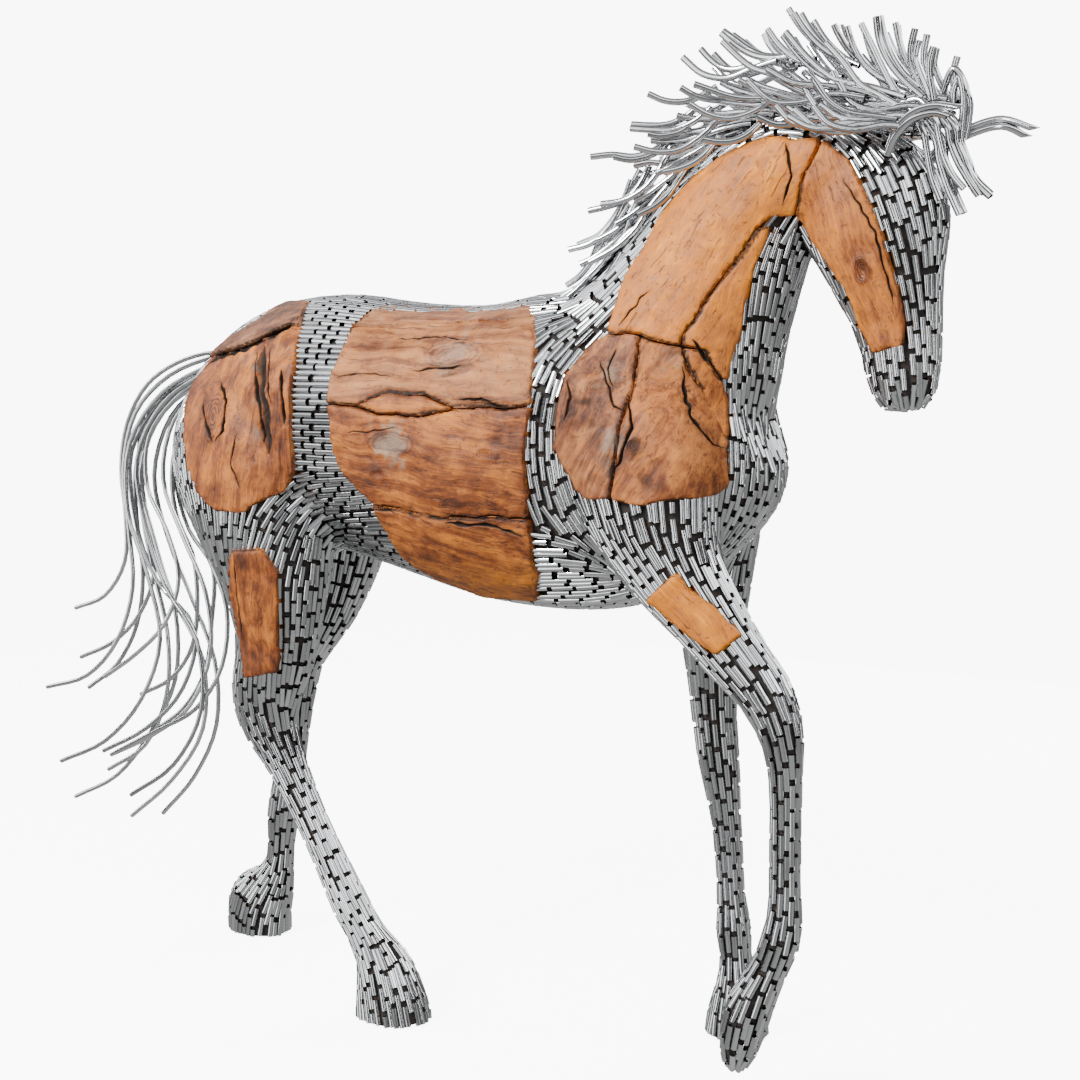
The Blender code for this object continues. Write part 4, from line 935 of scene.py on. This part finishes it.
# Cracks and gouges: half width in UNITs, depth in mm, how dark the painted shade in them is,
# then places (x, z).
CRACKS = [(0.22, 10, 1.0, [(-40.8, 87.4), (-38.6, 84.9), (-38.2, 80.9), (-39.2, 79.2)]),
          (0.16, 7, 0.9, [(-43.1, 85.8), (-42.5, 83.4), (-41.4, 81.3), (-39.6, 79.2)]),
          (1.05, 12, 0.45, [(-33.8, 92.4), (-32.7, 87.6), (-31.2, 82.5), (-30.6, 77.8)]),
          (0.20, 9, 1.0, [(-34.9, 91.6), (-33.7, 87.5), (-32.2, 82.9), (-31.5, 79.4)]),
          (0.16, 7, 0.9, [(-32.4, 92.0), (-31.4, 88.6), (-30.4, 84.6)]),
          (0.30, 13, 1.0, [(-29.2, 89.2), (-28.3, 85.8), (-27.6, 82.0)]),
          (0.14, 5, 0.8, [(-7.9, 89.4), (-3.5, 89.6), (-0.3, 89.9)]),
          (0.16, 6, 1.0, [(0.3, 85.6), (3.4, 85.8), (6.9, 84.7)]),
          (0.14, 7, 1.0, [(28.5, 90.0), (29.1, 86.7), (30.9, 83.3), (32.4, 80.6), (33.4, 80.1)]),
          (0.22, 7, 0.9, [(29.5, 93.3), (31.3, 90.5), (32.6, 87.9)]),
          (0.24, 9, 1.0, [(22.9, 86.2), (24.2, 82.8), (23.4, 79.3), (22.4, 77.1)]),
          (0.14, 5, 0.8, [(18.3, 90.7), (20.7, 86.5), (21.3, 85.0), (23.0, 84.7)]),
          (0.16, 6, 0.9, [(47.0, 111.5), (49.5, 108.2), (51.1, 105.2), (51.4, 103.9), (52.2, 100.6),
                          (53.0, 97.2)]),
          (0.18, 6, 0.9, [(39.5, 116.4), (40.4, 112.4), (39.3, 109.0)]),
          (0.24, 8, 1.0, [(-1.7, 70.0), (4.3, 69.9), (8.7, 68.8)]),
          (0.14, 5, 0.8, [(-36.3, 63.1), (-36.8, 57.4), (-36.9, 51.7)]),
          (0.10, 3, 0.6, [(-19.8, 88.2), (-15.0, 88.9), (-11.2, 88.6)]),
          (0.10, 3, 0.6, [(-17.0, 81.2), (-12.4, 81.4), (-8.8, 82.0)]),
          (0.14, 5, 0.8, [(14.8, 88.4), (15.6, 86.0), (15.2, 83.4)]),
          (0.12, 4, 0.7, [(20.1, 94.8), (22.6, 98.0), (24.0, 99.2)]),
          (0.12, 4, 0.8, [(-12.4, 93.6), (-7.0, 93.9), (-1.5, 93.4)]),
          (0.34, 12, 1.0, [(-48.4, 88.8), (-44.5, 90.6), (-40.6, 91.3), (-37.0, 92.0),
                           (-34.2, 93.4), (-31.3, 94.9), (-30.2, 96.0)]),
          (0.14, 5, 0.9, [(-46.6, 84.4), (-47.2, 80.9), (-46.6, 77.2)]),
          (0.12, 4, 0.8, [(-35.6, 80.4), (-36.2, 76.3), (-34.8, 73.0)]),
          (0.12, 4, 0.8, [(20.2, 92.4), (19.6, 89.6), (20.8, 87.4)]),
          (0.10, 4, 0.7, [(-17.6, 72.4), (-13.0, 71.0), (-9.2, 70.7)])]
# Slabs that lap over their neighbours stand this much prouder, in metres.
LAPPED = {"haunch_cap": 0.008, "flank_key": 0.003, "shoulder_wedge": 0.003, "shoulder_rear": 0.003}
# Knots: middle (x, z), half length and half width in UNITs, greyness.
KNOTS = [(-2.3, 91.5, 4.0, 1.5, 0.5), (-9.7, 79.8, 3.2, 1.3, 1.0), (18.6, 87.6, 1.2, 0.8, 0.4),
         (25.0, 80.6, 1.1, 0.8, 0.3), (-40.4, 82.6, 1.3, 2.7, 0.2), (21.3, 104.4, 0.7, 0.7, 0.1),
         (49.3, 101.3, 0.8, 1.4, 0.1), (-12.0, 75.8, 1.2, 0.7, 0.2), (4.8, 79.0, 1.4, 0.6, 0.2)]
# Places where the wood is rotten-dark or weathered: middle (x, z), reach, how dark, how grey.
STAINS = [(17.3, 85.6, 0.9, 1.0, 0.2), (24.9, 80.1, 1.0, 0.9, 0.3), (26.3, 76.3, 1.0, 0.8, 0.3),
          (18.9, 76.3, 0.9, 0.8, 0.2), (22.0, 81.0, 2.0, 0.35, 0.9), (-9.7, 79.8, 2.6, 0.1, 0.9),
          (-2.3, 91.5, 4.0, 0.1, 0.7), (20.2, 89.3, 1.9, 0.1, 0.7), (27.0, 91.0, 2.2, 0.0, 0.5),
          (21.4, 104.5, 0.7, 0.9, 0.0), (48.8, 109.7, 0.7, 0.8, 0.1), (-32.2, 85.5, 1.2, 0.35, 0.8),
          (18.5, 83.0, 0.8, 0.8, 0.4), (21.8, 78.2, 1.3, 0.6, 0.6), (28.6, 75.9, 1.1, 0.5, 0.3),
          (8.0, 88.0, 1.8, 0.3, 0.2), (-18.5, 77.0, 2.2, 0.35, 0.1), (-6.0, 63.5, 2.0, 0.3, 0.1),
          (-43.5, 76.0, 1.8, 0.35, 0.0), (6.5, 74.0, 1.6, 0.3, 0.1),
          (-33.3, 89.6, 1.0, 0.3, 1.0), (-32.6, 80.6, 1.1, 0.45, 0.6), (-28.6, 79.2, 1.3, 0.5, 0.2),
          (-36.8, 90.6, 1.5, 0.25, 0.4), (3.0, 68.4, 1.8, 0.4, 0.3), (8.2, 62.4, 1.4, 0.6, 0.2),
          (-11.0, 74.2, 1.4, 0.4, 0.2), (16.2, 84.4, 0.7, 0.8, 0.3), (20.2, 78.8, 1.5, 0.55, 0.5)]


def to_line(xs, zs, line):
    """Distance of places from a bent line, and how far along the line they are, 0 to 1."""
    near, at = np.full(len(xs), np.inf), np.zeros(len(xs))
    lengths = [math.dist(a, b) for a, b in zip(line, line[1:])]
    gone = 0.0
    for start, end, length in zip(line, line[1:], lengths):
        along, away = off_edge(xs, zs, start, end)
        nearer = away < near
        near = np.where(nearer, away, near)
        at = np.where(nearer, (gone + along * length) / sum(lengths), at)
        gone += length
    return near, at


def places_of(bm):
    """Side-view places of a slab's points in UNITs, a little jogged so that no crack is ruled."""
    spots = np.array([v.co for v in bm.verts]) - np.array(HEART)
    jog = np.array([noise.noise_vector(Vector(p) * 45) for p in spots]) * 0.28
    return spots, spots[:, 0] / UNIT + jog[:, 0], spots[:, 2] / UNIT + jog[:, 2]


def waver(bm):
    """No edge of old wood is straight."""
    for vert in bm.verts:
        spot = vert.co - HEART
        drift = sum((noise.noise_vector(spot * close) * much for close, much in WAVER), Vector())
        vert.co += Vector((drift.x, 0.25 * drift.y, drift.z))


def refine(bm, side, shift):
    """Make the mesh twice as fine, and twice again, along the cracks of the slab's outer face."""
    for _ in range(2):
        spots, xs, zs = places_of(bm)
        close = np.zeros(len(xs), bool)
        for half, _, _, line in CRACKS:
            close |= to_line(xs + shift, zs - shift, line)[0] < half + BESIDE
        close &= spots[:, 1] * side > 0
        bm.verts.ensure_lookup_table()
        cut = [e for e in bm.edges if close[e.verts[0].index] and close[e.verts[1].index]
               and e.verts[0].normal.y * side > -0.2]
        if cut:
            bmesh.ops.subdivide_edges(bm, edges=cut, cuts=1, use_grid_fill=True, smooth=0.0)
            bmesh.ops.triangulate(bm, faces=[f for f in bm.faces if len(f.verts) > 4])
            bm.verts.index_update()
    bm.normal_update()


def lie_of(bm, spots):
    """How a slab's points lie on the horse's form: outward direction, height over it, how
    squarely they face outwards, and distance from the slab's side walls."""
    count = len(spots)
    up, height, facing = np.zeros((count, 3)), np.zeros(count), np.zeros(count)
    for k, vert in enumerate(bm.verts):
        foot, normal, _, _ = outer.find_nearest(Vector(spots[k]))
        up[k] = normal
        height[k] = (Vector(spots[k]) - foot).dot(normal)
        facing[k] = vert.normal.dot(normal)
    feet = spots - up * height[:, None]
    walls = KDTree(count)
    for k in range(count):
        if abs(facing[k]) < 0.45 and height[k] > -0.02:
            walls.insert(feet[k], k)
    walls.balance()
    return up, height, facing, np.array([walls.find(foot)[2] or 1.0 for foot in feet])


def carve(slab, name, side):
    """Smooth the wood to the horse's form, rub down its edges, open its cracks and mark its grain,
    with painted shade in the cracks and along the rims.
    """
    turn, pale, grey = WOODS[name]
    shift = 0 if side < 0 else FAR_SHIFT
    bm = bmesh.new()
    bm.from_mesh(slab.data)
    waver(bm)
    refine(bm, side, shift)
    spots, xs, zs = places_of(bm)
    count = len(xs)
    up, height, facing, rim = lie_of(bm, spots)

    # The height that the finished face has over the horse's form, rounded down at the rims.
    swell = np.array([sum(rise * noise.noise(Vector(p) * close) for close, rise in SWELLS)
                      for p in spots])
    worn = np.clip(1 - rim / RIM, 0, 1)
    top = PROUD + LAPPED.get(name, 0) + swell - RIM * (1 - np.sqrt(1 - 0.92 * worn ** 2))
    top -= SUNK * np.clip((up[:, 2] - 0.35) / 0.4, 0, 1)
    # Painted shade along the rims, where the wood meets the tubes.
    stain_and_shade = 0.8 * np.clip(1 - rim / RIM_SHADE, 0, 1)
    weathered = np.full(count, grey)
    # Each crack is cut into the face and darkened with painted shade, with a faint band beside it.
    for half, depth, shade, line in CRACKS:
        away, at = to_line(xs + shift, zs - shift, line)
        taper = np.clip(np.minimum(at, 1 - at) * 5 + 0.2, 0, 1)
        wide = half * taper * (0.95 + 0.25 * np.sin(xs * 2.1 + zs * 1.7))
        gape = np.clip(1 - away / wide, 0, 1) ** 0.6
        top -= gape * depth * 0.001 * taper
        stain_and_shade = np.maximum(stain_and_shade, shade * np.maximum(1.8 * gape, 0.32 * np.exp(-(away / 0.5) ** 2)))

    # Places along the grain (u) and across it (v), which the grain's lines part round the knots.
    slope = math.radians(turn)
    u = spots[:, 0] * math.cos(slope) + spots[:, 2] * math.sin(slope)
    v = -spots[:, 0] * math.sin(slope) + spots[:, 2] * math.cos(slope)
    ring = np.full(count, 3.0)
    for x, z, long, wide, grey_there in KNOTS:
        x, z = x - shift, z + shift
        away = np.hypot((xs - x) / long, (zs - z) / wide)
        ring = np.minimum(ring, away)
        middle = (-x * math.sin(slope) + z * math.cos(slope)) * UNIT
        v = middle + (v - middle) * (1 - 0.7 * np.exp(-away ** 2 / 1.4))
        top += KNOT_COLLAR * np.exp(-((away - 1) / 0.22) ** 2)
        top -= KNOT_HOLLOW * np.clip(1 - away ** 2, 0, 1)
        weathered = np.maximum(weathered, grey_there * np.clip(1.4 - away, 0, 1))
    ragged = np.clip([1 + 1.1 * noise.noise(Vector(p) * 75) + 0.7 * noise.noise(Vector(p) * 25)
                      for p in spots], 0.6, 2)
    for x, z, reach, blackness, greyness in STAINS:
        away = np.hypot(xs - x + shift, zs - z - shift) * ragged / reach
        stained = np.exp(-away ** 2)
        stain_and_shade = np.maximum(stain_and_shade, 0.62 * blackness * stained)
        weathered = np.maximum(weathered, greyness * stained)

    # Only the outer face and what stands above it move; the sides and the back stay.
    raised = np.clip((height - top + SKIN_OF_WOOD) / 0.008, 0, 1)
    for k, vert in enumerate(bm.verts):
        if facing[k] > 0.35 or (facing[k] > -0.3 and height[k] > top[k]):
            vert.co += Vector(up[k]) * float((top[k] - height[k]) * raised[k])
    bm.to_mesh(slab.data)
    bm.free()
    marks = {"grain": np.stack([u, v, spots[:, 1]], axis=1),
             "wear": np.stack([np.clip(stain_and_shade, 0, 1), np.clip(weathered, 0, 1), ring / 3], axis=1)}
    for kind, values in marks.items():
        slab.data.attributes.new(kind, "FLOAT_VECTOR", "POINT").data.foreach_set(
            "vector", values.astype(np.float32).ravel())
    paleness = slab.data.attributes.new("pale", "FLOAT", "POINT")
    paleness.data.foreach_set("value", np.full(count, pale))


# Oiled teak: long fibres and darker streaks along the grain, rings round the knots, pores, fine
# checks, silvered patches, and painted shade in the cracks and along the rims.
teak, shader = finish_of("oiled teak root", (0.4, 0.15, 0.04), Specular_IOR_Level=0.28)


def scaled(place, factors):
    return Wire.node("ShaderNodeVectorMath", {"operation": "MULTIPLY"}, {0: place, 1: factors})


grain = Wire.node("ShaderNodeAttribute", {"attribute_name": "grain"}, out="Vector")
wear = Wire.node("ShaderNodeAttribute", {"attribute_name": "wear"}, out="Vector")
pale = Wire.node("ShaderNodeAttribute", {"attribute_name": "pale"}, out="Fac")
stain_and_shade, weathered, ring = (Wire.node("ShaderNodeSeparateXYZ", None, {0: wear}, part)
                         for part in "XYZ")
where = Wire.node("ShaderNodeTexCoord", out="Object")
bend = Wire.node("ShaderNodeTexNoise", None, {"Vector": where, "Scale": 7.0, "Detail": 3.0},
                 "Color")
grain = Wire.node("ShaderNodeVectorMath", {"operation": "ADD"},
                  {0: grain, 1: scaled(bend, neutral(0.05))})
fibre = cloud(scaled(grain, (11, 260, 260)), 1.0, 4.0, 0.6)
streak = cloud(scaled(grain, (5, 46, 46)), 1.0, 5.0, 0.62, 0.4)
patch = cloud(where, 8.5, 5.0, 0.62)
mottle = cloud(where, 34.0, 4.0, 0.6)
checks = cloud(scaled(grain, (5, 120, 120)), 1.0, 3.0, 0.5).stretch(0.30, 0.36, 1.0, 0.0)
rings = Wire.node("ShaderNodeMath", {"operation": "SINE"}, {0: ring * 75.0 + mottle * 7.0})
rings = (rings * 0.5 + 0.5) * ring.stretch(0.28, 0.52, 1.0, 0.0)
depth_of_tone = (patch * 0.85 + streak * 1.05 + fibre * 0.55 + mottle * 0.22 - 0.95
                 + (pale - 0.5) * 0.52 - rings * 0.25)
wood = Wire.node("ShaderNodeValToRGB",
                 {"stops": [(0.08, (0.055, 0.014, 0.004)), (0.80, (0.61, 0.188, 0.011)),
                            (0.30, (0.19, 0.05, 0.010)), (0.52, (0.40, 0.125, 0.020)),
                            (1.0, (0.84, 0.30, 0.022))]}, {0: depth_of_tone})
specks = cloud(where, 95.0, 3.0, 0.55).stretch(0.30, 0.40, 1.0, 0.0)
smudges = cloud(where, 21.0, 5.0, 0.65).stretch(0.56, 0.74)
greyed = blend(streak.stretch(0.3, 0.7), (0.085, 0.05, 0.034), (0.36, 0.24, 0.165))
wood = blend((weathered * (mottle * 0.7 + patch * 0.9)).stretch(0.12, 0.75), wood, greyed)
wood = blend(specks * 0.45, wood, (0.05, 0.022, 0.012))
wood = blend(smudges * 0.35, wood, (0.085, 0.030, 0.012))
wood = blend(checks * 0.55, wood, (0.05, 0.018, 0.008))
# Rotten-dark stains, and painted shade in the cracks and along the rims.
wood = blend(stain_and_shade.stretch(0.05, 0.75), wood, (0.014, 0.007, 0.004))
relief = streak * 0.6 + fibre * 0.35 + mottle * 0.8 - checks * 0.6 + rings * 0.2 - specks * 0.3
bumped = Wire.node("ShaderNodeBump", None, {"Strength": 0.8, "Distance": 0.0026, "Height": relief})
feed(shader, Base_Color=wood, Normal=bumped,
     Roughness=streak * 0.3 + weathered * 0.2 + stain_and_shade * 0.3 + 0.36)

STEEL_NODES = ("steel_body", "mane", "tail", "ear_left", "ear_right")
for name in [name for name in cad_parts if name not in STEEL_NODES]:
    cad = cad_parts[name]
    bm = bmesh.new()
    bm.from_mesh(cad.data)
    bmesh.ops.transform(bm, matrix=cad.matrix_world, verts=bm.verts)
    bmesh.ops.remove_doubles(bm, verts=bm.verts, dist=0.00002)
    side = math.copysign(1, sum(v.co.y for v in bm.verts))    # -1 right, 1 left
    slab = solid(name + "_wood", bm, teak)
    work(slab, "REMESH", mode="VOXEL", voxel_size=FINE)
    work(slab, "SMOOTH", factor=0.5, iterations=6)
    carve(slab, name.replace("_far", ""), side)
    slab.data.shade_smooth()
    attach(slab, "root")
    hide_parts(name)
